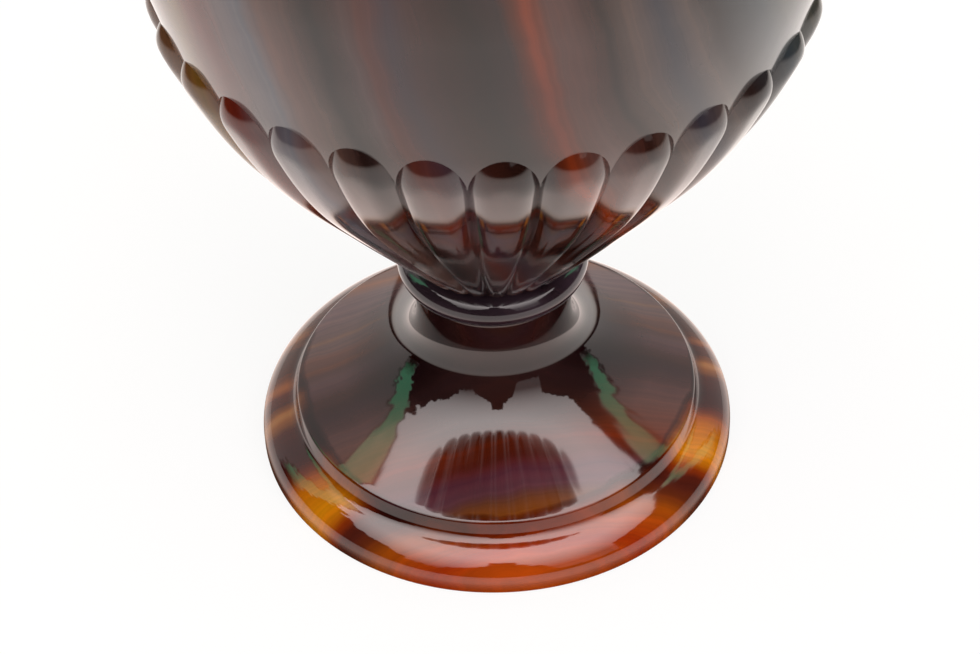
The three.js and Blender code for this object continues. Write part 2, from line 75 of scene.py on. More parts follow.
# %% [markdown]
# ## The camera
#
# The view looks down at the foot and the lower body from about half a metre, through a long lens.
# A new camera looks straight down, so it is tilted up about X first. A tiny turn about its own
# upright axis and a small lean about its line of sight follow, both in radians, each as a
# rotation of its own, which is easier to follow than a single matrix.

# %% Camera
CAMERA_PLACE = (0.0, -0.3401, 0.3462)
CAMERA_TILT = math.radians(46.53)
CAMERA_TURN = 0.0018
CAMERA_LEAN = -0.026
SENSOR_WIDTH = 36.0
IMAGE_WIDTH = 980
FOCAL_PIXELS = 2500.0


def new_object(name, data):
    """An object with that data, linked to the scene."""
    thing = bpy.data.objects.new(name, data)
    bpy.context.scene.collection.objects.link(thing)
    return thing


camera_data = bpy.data.cameras.new("camera")
camera_data.sensor_width = SENSOR_WIDTH
camera_data.lens = FOCAL_PIXELS / IMAGE_WIDTH * SENSOR_WIDTH
camera = new_object("camera", camera_data)
place = Matrix.Translation(CAMERA_PLACE)
for angle, axis in ((CAMERA_TILT, "X"), (CAMERA_TURN, "Y"), (CAMERA_LEAN, "Z")):
    place @= Matrix.Rotation(angle, 4, axis)
camera.matrix_world = place
bpy.context.scene.camera = camera
bpy.context.scene.view_settings.view_transform = "Standard"
print("lens in mm:", round(camera_data.lens, 1))

# %% [markdown]
# ## Colours and nodes
#
# Colours are written as sRGB hex values, which anyone can read or pick, and one function turns
# them into the linear light that the shaders need. One more function adds a node: its sockets
# take a value or another node's output, its own settings are named arguments, and it gives back
# the output that the next node needs. A socket is named or counted from 0: a Mix node's colours
# are sockets 6 and 7 and output 2, because its numbers have the same names. Tables of colours
# are written in real units, such as millimetres or degrees, and colour_by looks a value up in one.

# %% Colour and node helpers
def linear(code):
    """Linear light from sRGB: low values are divided, the rest follow a power of 2.4."""
    values = [int(code[i : i + 2], 16) / 255 for i in (1, 3, 5)]
    return (*(v / 12.92 if v <= 0.04045 else ((v + 0.055) / 1.055) ** 2.4 for v in values), 1.0)


def grey(value):
    """One level of linear light for red, green and blue, fully opaque."""
    return (value, value, value, 1.0)


def add(tree, kind, links=None, out=0, **settings):
    """Add a node and return one of its outputs, or all of them if out is None."""
    node = tree.nodes.new("ShaderNode" + kind)
    for name, value in settings.items():
        setattr(node, name, value)
    for socket, source in (links or {}).items():
        if isinstance(source, bpy.types.NodeSocket):
            tree.links.new(source, node.inputs[socket])
        else:
            node.inputs[socket].default_value = source
    return node.outputs if out is None else node.outputs[out]


def colour_by(tree, value, stops):
    """Look a value up in stops (place, colour): a ramp over its share from first to last."""
    low, high = stops[0][0], stops[-1][0]
    share = add(tree, "MapRange", {"Value": value, "From Min": low, "From Max": high})
    colour = add(tree, "ValToRGB", {0: share})
    elements = colour.node.color_ramp.elements
    while len(elements) < len(stops):
        elements.new(0.5)
    for element, (place, code) in zip(elements, stops):
        element.position = (place - low) / (high - low)
        element.color = linear(code) if isinstance(code, str) else code
    return colour


def new_material(name):
    """A material with an empty node tree, the tree, and the shading point in millimetres."""
    material = bpy.data.materials.new(name)
    material.use_nodes = True
    tree = material.node_tree
    tree.nodes.clear()
    metres = add(tree, "TexCoord", out="Object")
    return material, tree, add(tree, "VectorMath", {0: metres, "Scale": 1 / MM}, operation="SCALE")


FLOAT, RGBA = {"data_type": "FLOAT"}, {"data_type": "RGBA"}
SHADED = {"data_type": "RGBA", "blend_type": "MULTIPLY"}
print("linear light of mid grey:", round(linear("#808080")[0], 3))

# %% [markdown]
# ## The studio
#
# Polished stone is half its own colour and half what it mirrors, so the room matters.
# The table is white. A large soft box hangs over the front, and a dark gap stays between it
# and the table. Two narrow strips that glow green stand where the soft box ends at both sides,
# and a pale backdrop closes the back.
#
# Lamps could build this room, but the world can hold it with less noise: its colour is a function
# of direction alone, in degrees. Azimuth is 0 towards the front and grows towards +X, and
# elevation is above the horizon. The sides of the soft box draw in overhead, so the azimuth
# shrinks as the direction climbs. Noise added to both angles makes every edge ragged.

# %% Directions in the room
RAGGED_DEGREES = 3.6
RAGGED_SCALE = 12.0
DRAWN_IN_FROM = 45.0
DRAWN_IN_OVERHEAD = 0.694

world = bpy.data.worlds.new("studio")
bpy.context.scene.world = world
world.use_nodes = True
sky = world.node_tree
sky.nodes.clear()
direction = add(sky, "TexCoord", out="Generated")
x, y, z = add(sky, "SeparateXYZ", {0: direction}, None)
minus_y = add(sky, "Math", {0: y, 1: -1.0}, operation="MULTIPLY")
azimuth = add(sky, "Math", {0: x, 1: minus_y}, operation="ARCTAN2")
azimuth = add(sky, "Math", {0: azimuth, 1: math.degrees(1)}, operation="MULTIPLY")
elevation = add(sky, "Math", {0: z}, operation="ARCSINE")
elevation = add(sky, "Math", {0: elevation, 1: math.degrees(1)}, operation="MULTIPLY")
noise = {"Vector": direction, "Scale": RAGGED_SCALE, "Detail": 5.0}
ragged = add(sky, "TexNoise", noise, normalize=False)
climb = {"Value": elevation, "From Min": DRAWN_IN_FROM, "From Max": 90.0}
drawn_in = add(sky, "MapRange", {**climb, "To Min": 1.0, "To Max": DRAWN_IN_OVERHEAD})
drawn = add(sky, "Math", {0: azimuth, 1: drawn_in}, operation="MULTIPLY")
ragged_azimuth, ragged_elevation = (
    add(sky, "Math", {0: ragged, 1: RAGGED_DEGREES, 2: angle}, operation="MULTIPLY_ADD")
    for angle in (drawn, elevation)
)
print("edges move by up to", RAGGED_DEGREES, "degrees")

# %% [markdown]
# ### Where each light ends
#
# Two ramps over the azimuth divide the room. In the first, grey stands for the elevation at which
# the soft box starts, with white straight up, and below it lies the dark gap. In the second, blue
# marks the soft box, red the two strips, green the backdrop, and black the joints between them.

# %% Zones of the room
SOFT_BOX_EDGE = [
    (-180, 50), (-99, 50), (-86, 47), (-65, 42), (-43, 33), (-42.6, 25), (-25, 24), (-23.6, 30),
    (-7, 41), (-6.4, 50), (7.6, 51), (8.2, 44), (18, 37), (23.6, 16), (24, 10), (51.6, 9),
    (52.2, 35), (73, 41), (91, 47), (100, 53), (113, 56), (180, 55),
]
STRIP, BACK, FRONT, JOINT = (1, 0, 0, 1), (0, 1, 0, 1), (0, 0, 1, 1), (0, 0, 0, 1)
ZONES = [
    (-180, BACK), (-112.4, BACK), (-112.2, JOINT), (-111.2, JOINT), (-110.7, STRIP),
    (-98.2, STRIP), (-97.9, JOINT), (-97, JOINT), (-96.9, FRONT), (108.2, FRONT), (108.3, JOINT),
    (109.6, JOINT), (109.9, STRIP), (118.6, STRIP), (119.1, JOINT), (120.2, JOINT),
    (120.4, BACK), (180, BACK),
]

edge = colour_by(sky, azimuth, [(a, grey(e / 90)) for a, e in SOFT_BOX_EDGE])
edge = add(sky, "Math", {0: edge, 1: 90.0}, operation="MULTIPLY")
in_gap = add(sky, "Math", {0: ragged_elevation, 1: edge}, operation="LESS_THAN")
zone = colour_by(sky, ragged_azimuth, ZONES)
in_strip, in_back, in_front = add(sky, "SeparateColor", {0: zone}, None)
print("stops:", len(SOFT_BOX_EDGE), "for the soft box,", len(ZONES), "for the zones")

# %% [markdown]
# ### How bright each light is
#
# A polished stone mirrors only a small share of what it faces, so a light has to be strong to
# show in it, and that much light would bleach the stone's own colour. The Light Path node tells
# mirrored rays from the rest: they see the soft box at a level that grows with elevation, because
# its low part is turned away, and all other rays are lit by a weaker, even level.
# The strips start a little above the table and turn from green to cream near the top.
# Rays from the camera miss all of this and see plain white.

# %% Brightness of the room
SOFT_BOX_COLOUR, BACKDROP_COLOUR = "#fff6f5", "#fff8f4"
SOFT_BOX_LIGHT, SOFT_BOX_MIRRORED = 2.8, 6.1
DIM_UP_TO, DIM_SHARE, FULL_FROM = 24.0, 0.1, 62.0
GAP, BACKDROP = 0.02, 0.8
STRIP_FROM = 4.0
STRIP_COLOURS = [(8, "#2c3430"), (24, "#94ffc6"), (47, "#94ffc6"), (60, "#fff0c8")]
GREEN_UP_TO, GREEN_GLOW = 47.0, 1.7
CREAM_FROM, CREAM_GLOW = 60.0, 3.1

ray = add(sky, "LightPath", out=None)
climb = {"Value": elevation, "From Min": DIM_UP_TO, "From Max": FULL_FROM}
climb |= {"To Min": DIM_SHARE * SOFT_BOX_MIRRORED, "To Max": SOFT_BOX_MIRRORED}
levels = {"A": SOFT_BOX_LIGHT, "B": add(sky, "MapRange", climb)}
box = add(sky, "Mix", {0: ray["Is Glossy Ray"], **levels}, **FLOAT)
box = add(sky, "Mix", {0: in_gap, "A": box, "B": GAP}, **FLOAT)
front = add(sky, "Background", {"Color": linear(SOFT_BOX_COLOUR), "Strength": box})

colour = colour_by(sky, ragged_elevation, STRIP_COLOURS)
climb = {"Value": ragged_elevation, "From Min": GREEN_UP_TO, "From Max": CREAM_FROM}
glow = add(sky, "MapRange", {**climb, "To Min": GREEN_GLOW, "To Max": CREAM_GLOW})
glow = add(sky, "Math", {0: in_strip, 1: glow}, operation="MULTIPLY")
lit = add(sky, "Math", {0: elevation, 1: STRIP_FROM}, operation="GREATER_THAN")
glow = add(sky, "Math", {0: glow, 1: lit}, operation="MULTIPLY")
side = add(sky, "Math", {0: in_back, 1: BACKDROP, 2: glow}, operation="MULTIPLY_ADD")
colour = add(sky, "Mix", {0: in_strip, 6: linear(BACKDROP_COLOUR), 7: colour}, 2, **RGBA)
side = add(sky, "Background", {"Color": colour, "Strength": side})

room = add(sky, "MixShader", {0: in_front, 1: side, 2: front})
white = add(sky, "Background", {"Color": grey(1.0), "Strength": 1.0})
seen = add(sky, "MixShader", {0: ray["Is Camera Ray"], 1: room, 2: white})
add(sky, "OutputWorld", {"Surface": seen}, None)
print("soft box:", SOFT_BOX_MIRRORED, "as mirrored,", SOFT_BOX_LIGHT, "as light")

# %% [markdown]
# ## The table
#
# The table is a large pale plane. It takes the light and the foot's shadow as a matt surface,
# and glows a little for the camera, so the background stays white without more light on the stone.
#
# Mirrored rays see it glow in tones that go by the distance from the ewer's axis: a painted shadow
# under the foot, a painted pool of warm light round it, standing for light that comes through the
# stone, then nearly white, and painted shade beyond half a metre, as if the table ended there.
# Those painted tones are what the lobes mirror.

# %% Floor
FLOOR_SIZE = 6.0
PAPER = 0.86
GLOW_FOR_CAMERA, GLOW_MIRRORED = 0.82, 1.65
# Painted shadow under the foot, a painted pool of warm light round it and painted shade far out,
# seen in mirrors.
PAINTED_TABLE_SHADOW_AND_LIGHT = [
    (0, "#100804"), (45.4, "#100804"), (46.4, "#8a6048"), (47.6, "#f0d4c4"), (50, "#ffeee7"),
    (60, "#ffeee7"), (75, "#f4e8e2"), (100, "#ece4de"), (140, "#ece4e0"), (200, "#f2ebe6"),
    (260, "#ece4de"), (340, "#e4dad4"), (430, "#a49a94"), (540, "#403834"), (650, "#1c1816"),
]

floor_mesh = bpy.data.meshes.new("floor")
half = FLOOR_SIZE / 2
corners = [(-half, -half, 0), (half, -half, 0), (half, half, 0), (-half, half, 0)]
floor_mesh.from_pydata(corners, [], [(0, 1, 2, 3)])
floor = new_object("floor", floor_mesh)
paper, tree, point = new_material("white_paper_table")
floor_mesh.materials.append(paper)
ray = add(tree, "LightPath", out=None)
mirrored = ray["Is Glossy Ray"]
away = add(tree, "VectorMath", {0: point}, "Value", operation="LENGTH")
tones = {0: mirrored, 6: grey(1.0), 7: colour_by(tree, away, PAINTED_TABLE_SHADOW_AND_LIGHT)}
colour = add(tree, "Mix", tones, 2, **RGBA)
strength = add(tree, "Mix", {0: mirrored, "A": 1.0, "B": GLOW_MIRRORED}, **FLOAT)
matt = add(tree, "BsdfDiffuse", {"Color": grey(PAPER)})
glow = add(tree, "Emission", {"Color": colour, "Strength": strength})
glowing = {0: ray["Is Camera Ray"], 1: GLOW_FOR_CAMERA, 2: mirrored}
glowing = add(tree, "Math", glowing, operation="MULTIPLY_ADD")
both = add(tree, "MixShader", {0: glowing, 1: matt, 2: glow})
add(tree, "OutputMaterial", {"Surface": both}, None)
print("floor in metres:", FLOOR_SIZE)

# %% [markdown]
# ## Surfaces from rings
#
# Every stone here is a stack of closed rings: a profile carried round an axis, or a section
# carried along a path. A whole stack is one array, rings[row, column] = (x, y, z) in millimetres,
# and quads join each ring to the next. A stack whose last ring meets its first is a tube closed
# on itself. Otherwise its two end rings shrink to a point, which becomes a single vertex.
# The signed volume, a sixth of the sum of a . (b x c) over the triangles, tells whether the faces
# point out, and they are turned round if they don't.

# %% Helpers for profiles
CORNER_STEPS = 5


def bezier(a, b, c, d, steps):
    """A cubic curve: the four points weighted by (1-t)^3, 3t(1-t)^2, 3t^2(1-t) and t^3."""
    t = np.linspace(0, 1, steps + 1)[:, None]
    a, b, c, d = (np.asarray(p, float) for p in (a, b, c, d))
    return (1 - t) ** 3 * a + 3 * (1 - t) ** 2 * t * b + 3 * (1 - t) * t**2 * c + t**3 * d


def soft_corner(before, corner, after, size):
    """A corner C rounded by a parabola from A to B: (1-t)^2 A + 2t(1-t) C + t^2 B."""
    before, corner, after = (np.asarray(p, float) for p in (before, corner, after))
    a = corner + (before - corner) * size / np.linalg.norm(before - corner)
    b = corner + (after - corner) * size / np.linalg.norm(after - corner)
    t = np.linspace(0, 1, CORNER_STEPS + 1)[:, None]
    return (1 - t) ** 2 * a + 2 * t * (1 - t) * corner + t**2 * b


def straight(a, b, steps):
    """Evenly spaced points from a to b, without the two ends."""
    t = np.linspace(0, 1, steps + 1)[1:-1, None]
    return np.asarray(a, float) * (1 - t) + np.asarray(b, float) * t


def smooth(value):
    """3t^2 - 2t^3 between 0 and 1, flat outside."""
    t = np.clip(value, 0, 1)
    return t * t * (3 - 2 * t)


def turn(profile, sides):
    """Rings of a turned shape: each (radius, height) goes once round the Z axis."""
    profile = np.asarray(profile, float)
    angle = np.arange(sides) * 2 * math.pi / sides
    x = profile[:, :1] * np.sin(angle)
    y = -profile[:, :1] * np.cos(angle)
    z = np.repeat(profile[:, 1:], sides, axis=1)
    return np.stack([x, y, z], axis=2)


corner = soft_corner((0, 0), (1, 0), (1, 1), 0.5)
print("middle of a soft corner:", corner[len(corner) // 2].round(2))

# %% Helper for meshes
SHARP_ANGLE = math.radians(40)


def piece_from_rings(name, rings, closed):
    """A mesh object from stacked rings: quads between them, fans at open ends, faces out."""
    rows, sides = rings.shape[:2]
    if closed:
        points = rings.reshape(-1, 3)
        below = np.arange(rows * sides).reshape(rows, sides)
        above = np.roll(below, -1, axis=0)
        fans = []
    else:
        points = np.vstack([rings[0, :1], rings[1:-1].reshape(-1, 3), rings[-1, :1]])
        inner = 1 + np.arange((rows - 2) * sides).reshape(rows - 2, sides)
        below, above = inner[:-1], inner[1:]
        last = len(points) - 1
        first_ring, last_ring = inner[0], inner[-1]
        fans = [
            np.stack([np.zeros(sides, int), np.roll(first_ring, -1), first_ring], axis=1),
            np.stack([np.full(sides, last), last_ring, np.roll(last_ring, -1)], axis=1),
        ]
    quads = np.stack(
        [below, np.roll(below, -1, axis=1), np.roll(above, -1, axis=1), above], axis=2
    ).reshape(-1, 4)
    triangles = [quads[:, [0, 1, 2]], quads[:, [0, 2, 3]], *fans]
    a, b, c = (points[np.vstack(triangles)[:, i]] for i in range(3))
    volume = np.einsum("ij,ij->i", a, np.cross(b, c)).sum() / 6
    if volume < 0:
        quads = quads[:, ::-1]
        fans = [fan[:, ::-1] for fan in fans]
    faces = quads.tolist() + [row for fan in fans for row in fan.tolist()]
    mesh = bpy.data.meshes.new(name)
    mesh.from_pydata((points * MM).tolist(), [], faces)
    mesh.shade_smooth()
    mesh.set_sharp_from_angle(angle=SHARP_ANGLE)
    print(name, "faces:", len(faces), "volume in cm3:", round(abs(volume) / 1000, 2))
    return new_object(name, mesh)


def size_of(node):
    """A node's lowest and highest corners in millimetres."""
    low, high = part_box(node)
    return np.array(low) / MM, np.array(high) / MM


foot_high = size_of("foot")[1]
bead_low, bead_high = size_of("stem_bead")
body_low, body_high = size_of("body")
ring_low, ring_high = size_of("neck_ring")
neck_low = size_of("neck")[0]
tops = [high[2] for high in (foot_high, bead_high, body_high, ring_high)]
print("tops of foot, bead, body and ring in mm:", np.round(tops, 1))

# %% [markdown]
# ## The foot
#
# The foot is a turned disc: a half-round rim on a narrow band, a sharp step, a hollow-curved dome
# that climbs into the stem, and below it a ground resting ring round a shallow dish. The stem rod
# runs up its middle and the body's tenon sits in its socket. On a lathe each of these is one
# stroke, so the shape is one closed profile turned round the axis.

# %% Foot
RIM_BAND_HEIGHT = 2.0
RIM_ROUND_WIDTH = 10.4
RIM_ROUND_HEIGHT = 6.5
RIM_ROUND_END = 4.9
COVE_WIDTH = 1.65
COVE_HEIGHT = 1.45
STEP_INSET = 7.2
STEP_TOP = 11.0
STEP_SLOPE = math.radians(75)
DOME_START_SLOPE = math.radians(22.5)
DOME_LOW_PULL = 20.0
DOME_HIGH_PULL = 10.0
WAIST_RADIUS = 14.4
WAIST_BELOW_TOP = 6.3
FOOT_TOP_RADIUS = 14.8
RESTING_RING_WIDTH = 11.0
DISH_DEPTH = 1.5
POCKET_RADIUS = 12.0
POCKET_DEPTH = 9.5
ROD_HOLE_RADIUS = 2.8
TENON_RADIUS = 8.0
TENON_DEPTH = 4.5
CLEARANCE = 0.3
EDGE_ROUND = 0.4
FOOT_SIDES = 400
RIM_STEPS, COVE_STEPS, DOME_STEPS = 48, 16, 110

foot_radius = foot_high[0]
foot_top = foot_high[2]
step_radius = foot_radius - STEP_INSET
tenon_floor = foot_top - TENON_DEPTH
socket_radius = TENON_RADIUS + CLEARANCE


def foot_profile():
    """The foot's closed outline, from the rod hole over the dome and the rim and back below."""
    last = math.acos(1 - RIM_ROUND_END / RIM_ROUND_WIDTH)
    angle = np.linspace(last, 0, RIM_STEPS)
    rim = np.stack(
        [
            foot_radius - RIM_ROUND_WIDTH * (1 - np.cos(angle)),
            RIM_BAND_HEIGHT + RIM_ROUND_HEIGHT * np.sin(angle),
        ],
        axis=1,
    )
    step_foot = rim[0] + (-COVE_WIDTH, COVE_HEIGHT)
    crest_slope = (rim[0] - rim[1]) / (rim[0] - rim[1])[0]
    down = np.array([1, -math.tan(STEP_SLOPE)])
    cross = np.linalg.solve(np.stack([down, crest_slope], axis=1), rim[0] - step_foot)[0]
    corner = step_foot + cross * down
    pulls = (step_foot + 2 * corner) / 3, (rim[0] + 2 * corner) / 3
    cove = bezier(step_foot, *pulls, rim[0], COVE_STEPS)
    step_top = np.array([step_radius, STEP_TOP])
    waist = (WAIST_RADIUS, foot_top - WAIST_BELOW_TOP)
    low_pull = DOME_LOW_PULL * np.array([-math.cos(DOME_START_SLOPE), math.sin(DOME_START_SLOPE)])
    pulls = (waist[0], waist[1] - DOME_HIGH_PULL), step_top + low_pull
    dome = bezier(waist, *pulls, step_top, DOME_STEPS)
    ring_inner = foot_radius - RESTING_RING_WIDTH
    top_edge = (FOOT_TOP_RADIUS, foot_top)
    return np.vstack(
        [
            [(ROD_HOLE_RADIUS, POCKET_DEPTH), (ROD_HOLE_RADIUS, tenon_floor)],
            [(socket_radius, tenon_floor), (socket_radius, foot_top)],
            soft_corner((socket_radius, foot_top), top_edge, waist, EDGE_ROUND / 2),
            straight(top_edge, waist, 6),
            dome[:-3],
            soft_corner(dome[-3], step_top, step_foot, EDGE_ROUND),
            straight(step_top, step_foot, 5),
            cove[:-1],
            rim[:-1],
            straight(rim[-1], (foot_radius, EDGE_ROUND), 4),
            soft_corner(rim[-1], (foot_radius, 0), (0, 0), EDGE_ROUND),
            soft_corner((foot_radius, 0), (ring_inner, 0), (ring_inner - 1, 1), EDGE_ROUND),
            [(ring_inner - DISH_DEPTH, DISH_DEPTH), (POCKET_RADIUS, DISH_DEPTH)],
            [(POCKET_RADIUS, POCKET_DEPTH)],
        ]
    )


foot = piece_from_rings("foot_stone", turn(foot_profile(), FOOT_SIDES), closed=True)

# %% [markdown]
# ## The stem bead and the neck ring
#
# Both are half-round rings threaded on a tenon. The stem bead has a small hollow above it, where
# the body sits. A half circle and a cubic curve describe them, again turned round the axis.

# %% Stem bead and neck ring
BEAD_ROUND = 3.15
BEAD_TOP_RADIUS = 15.2
CAVETTO_PULL = 1.2
RING_BORE = 13.5
RING_SIDES = 320
HALF_ROUND_STEPS, HOLLOW_STEPS = 44, 14

bead_radius = bead_high[0]
bead_seat = bead_radius - BEAD_ROUND
ring_radius = ring_high[0]
ring_round = (ring_high[2] - ring_low[2]) / 2


def half_round(seat, middle, size):
    """A half circle that bulges out from a seat radius, from its lowest to its highest point."""
    angle = np.linspace(-math.pi / 2, math.pi / 2, HALF_ROUND_STEPS)
    return np.stack([seat + size * np.cos(angle), middle + size * np.sin(angle)], axis=1)


def bead_profile():
    """The closed outline of the bead: bore, half circle, hollow, and back down the bore."""
    top = bead_high[2]
    bulge = half_round(bead_seat, bead_low[2] + BEAD_ROUND, BEAD_ROUND)
    middle = (bead_seat - CAVETTO_PULL, (bulge[-1][1] + top) / 2)
    hollow = bezier(bulge[-1], middle, middle, (BEAD_TOP_RADIUS, top), HOLLOW_STEPS)[1:]
    return np.vstack([[(socket_radius, bead_low[2])], bulge, hollow, [(socket_radius, top)]])


def ring_profile():
    """The closed outline of the neck ring: a half circle as high as the ring, round its bore."""
    bulge = half_round(ring_radius - ring_round, ring_low[2] + ring_round, ring_round)
    return np.vstack([[(RING_BORE, ring_low[2])], bulge, [(RING_BORE, ring_high[2])]])


bead = piece_from_rings("stem_bead_stone", turn(bead_profile(), RING_SIDES), closed=True)
ring = piece_from_rings("neck_ring_stone", turn(ring_profile(), RING_SIDES), closed=True)

# %% [markdown]
# ## The body
#
# The body is a hollow egg with a round mouth on top and a thick base. Its outside is two cubic
# curves that meet at the belly, and its hollow is two more curves inside them. The hollow's
# wall is thinner at the belly than at the base, as a carver leaves stone where the weight rests.

# %% Body outline
BODY_SEAT_RADIUS = 16.6
BODY_START_SLOPE = math.radians(39.3)
BODY_LOW_PULL = 64.7
BELLY_PULL_DOWN = 29.0
BELLY_ABOVE_SEAT = 88.0
BELLY_PULL_UP = 38.0
SHOULDER_PULL = 20.0
BODY_TOP_RADIUS = 20.0
BELLY_WALL = 5.3
BASE_THICKNESS = 21.5
FLOOR_PULL = 30.0
CAVITY_LOW_PULL = 35.0
SHOULDER_WALL = 7.0
CAVITY_UP_PULL = 33.0
CAVITY_SHOULDER_PULL = 20.0
BED = 0.4
SLEEVE_HOLE_RADIUS = 4.5
SLEEVE_LENGTH = 26.0
LINE_STEPS, FLOOR_STEPS, CEILING_STEPS = 2000, 30, 24

body_seat = bead_high[2] + BED
body_top = body_high[2]
belly_radius = min(-body_low[1], body_high[1])
belly_height = body_seat + BELLY_ABOVE_SEAT
lower_line = bezier(
    (BODY_SEAT_RADIUS, body_seat),
    (
        BODY_SEAT_RADIUS + BODY_LOW_PULL * math.sin(BODY_START_SLOPE),
        body_seat + BODY_LOW_PULL * math.cos(BODY_START_SLOPE),
    ),
    (belly_radius, belly_height - BELLY_PULL_DOWN),
    (belly_radius, belly_height),
    LINE_STEPS,
)
shoulder_line = bezier(
    (belly_radius, belly_height),
    (belly_radius, belly_height + BELLY_PULL_UP),
    (BODY_TOP_RADIUS + SHOULDER_PULL, body_top),
    (BODY_TOP_RADIUS, body_top),
    LINE_STEPS,
)
inner_belly = belly_radius - BELLY_WALL
cavity_floor = body_seat + BASE_THICKNESS
cavity_top = body_top - SHOULDER_WALL
cavity_low = bezier(
    (0, cavity_floor),
    (FLOOR_PULL, cavity_floor),
    (inner_belly, belly_height - CAVITY_LOW_PULL),
    (inner_belly, belly_height),
    FLOOR_STEPS,
)
cavity_high = bezier(
    (inner_belly, belly_height),
    (inner_belly, belly_height + CAVITY_UP_PULL),
    (RING_BORE + CAVITY_SHOULDER_PULL, cavity_top),
    (RING_BORE, cavity_top),
    CEILING_STEPS,
)
print("belly's radius and height in mm:", np.round([belly_radius, belly_height], 1))

# %% [markdown]
# ### The lobes
#
# Thirty tongue-shaped lobes stand round the body from its seat to below the belly. The carver
# leaves them standing, and cuts the grooves between them and the ground above them, which runs
# out softly towards the belly. Each lobe is rounded across, flatter and steeper-edged at its
# nose, and its crest swells a little out of the egg halfway up.
#
# A displacement texture could do this, but the edge of a lobe would turn jagged. Here the grid
# follows the lobes instead: within a lobe the columns sit closer at its edges, as the sine of an
# even angle, and the rows near the nose bend along the nose's own outline.

# %% Lobes
LOBE_COUNT = 30
LOBE_TOP_ABOVE_SEAT = 62.6
LOBE_DEPTH = 2.45
LOBE_NOSE = 8.4
FLANK_EDGE = 0.7
NOSE_EDGE = 0.42
FLANK_ROUNDING = 2.0
NOSE_ROUNDING = 1.25
CREST_SWELL = 0.55
SWELL_ABOVE_SEAT = 37.0
SWELL_REACH = 18.0
LOBE_TURN = math.radians(2.15)
RECESS_RUN = 28.0
ACROSS_STEPS = 16
NARROWEST_NOSE = 0.22
ABOVE_NOSE = 2.5
FLANK_ROWS, NOSE_ROWS, ABOVE_NOSE_ROWS, GROUND_ROWS, SHOULDER_ROWS = 50, 12, 7, 21, 52

lobe_top = body_seat + LOBE_TOP_ABOVE_SEAT
lobe_start = lobe_top - LOBE_NOSE


def lobe_columns():
    """Every column's angle, and its place across its lobe: -1 to 1 from groove to groove."""
    across = np.sin(np.linspace(-math.pi / 2, math.pi / 2, ACROSS_STEPS + 1))[:-1]
    pitch = 2 * math.pi / LOBE_COUNT
    start = LOBE_TURN + np.arange(LOBE_COUNT)[:, None] * pitch
    return np.tile(across, LOBE_COUNT), (start + across * pitch / 2).ravel()


def groove_depth(radius, height):
    """Depth of the carving: a share of the radius, which fades out above the lobes."""
    fade = 1 - smooth((height - lobe_top) / RECESS_RUN)
    return LOBE_DEPTH * radius * fade / belly_radius


def lobe_fill(across, height):
    """Share of the depth that a lobe fills: 1 - (1 - t)^rounding, with t from its edge inwards."""
    nose = np.maximum(0, (height - lobe_start) / LOBE_NOSE)
    outward = np.hypot(across, nose)
    towards_nose = np.minimum(1, nose)
    edge = FLANK_EDGE + (NOSE_EDGE - FLANK_EDGE) * towards_nose
    rounding = FLANK_ROUNDING + (NOSE_ROUNDING - FLANK_ROUNDING) * towards_nose
    return 1 - (1 - np.clip((1 - outward) / edge, 0, 1)) ** rounding


print("lobes:", LOBE_COUNT, "tops in mm:", np.round(lobe_top, 1))

# %% Outside of the body
def spread(points, columns):
    """Heights, or points (radius, height), repeated for every column: [row, column]."""
    return np.repeat(np.asarray(points, float)[:, None], columns, axis=1)


def outer_rings(across):
    """Radius and height of the body's outside, by row and column, up to its top edge.

    Below the belly the radius is the egg's, less the carving's depth where no lobe fills it,
    plus a raised cosine of the height for the swell.
    """
    columns = len(across)
    flank = np.linspace(body_seat, lobe_start, FLANK_ROWS)
    nose_reach = np.sqrt(np.maximum(0, 1 - across**2))
    nose_reach = LOBE_NOSE * np.maximum(nose_reach, NARROWEST_NOSE)
    climb = np.sin(np.linspace(0, math.pi / 2, NOSE_ROWS + 1))[1:, None]
    nose = lobe_start + climb * nose_reach
    clear = lobe_top + ABOVE_NOSE
    rise = np.linspace(0, 1, ABOVE_NOSE_ROWS + 1)[1:, None]
    above_nose = nose[-1] * (1 - rise) + clear * rise
    ground = np.linspace(clear, belly_height, GROUND_ROWS + 1)[1:]
    heights = np.vstack([spread(flank, columns), nose, above_nose, spread(ground, columns)])
    radii = np.interp(heights, lower_line[:, 1], lower_line[:, 0])
    fill = lobe_fill(across[None, :], heights)
    radii -= groove_depth(radii, heights) * (1 - fill)
    from_swell = np.clip((heights - body_seat - SWELL_ABOVE_SEAT) / SWELL_REACH, -1, 1)
    radii += CREST_SWELL * fill * (1 + np.cos(math.pi * from_swell)) / 2
    shoulder = shoulder_line[:: len(shoulder_line) // SHOULDER_ROWS][1:]
    shoulder = np.vstack([shoulder, shoulder_line[-1]])
    return np.concatenate([np.stack([radii, heights], axis=2), spread(shoulder, columns)])


print("rows on the flank and the nose:", FLANK_ROWS, "and", NOSE_ROWS)

# %% [markdown]
# ### The boss for the handle
#
# The handle stands on a low round boss on the shoulder. The boss is one move of the surface:
# points near its axis slide onto the boss's flat face, and those further out blend back into
# the shoulder, as a carver leaves a soft foot round a pad.

# %% Shoulder boss and the body's mesh
HANDLE_FOOT_INSET = 14.8
LOW_BOSS_RADIUS = 8.4
BOSS_RISE = 1.6
BOSS_BLEND = 2.6

foot_place = np.argmin(np.abs(shoulder_line[:, 0] - (belly_radius - HANDLE_FOOT_INSET)))
tangent = shoulder_line[foot_place + 1] - shoulder_line[foot_place - 1]
tangent /= np.linalg.norm(tangent)
handle_foot = np.array([shoulder_line[foot_place, 0], 0, shoulder_line[foot_place, 1]])
shoulder_normal = np.array([tangent[1], 0, -tangent[0]])


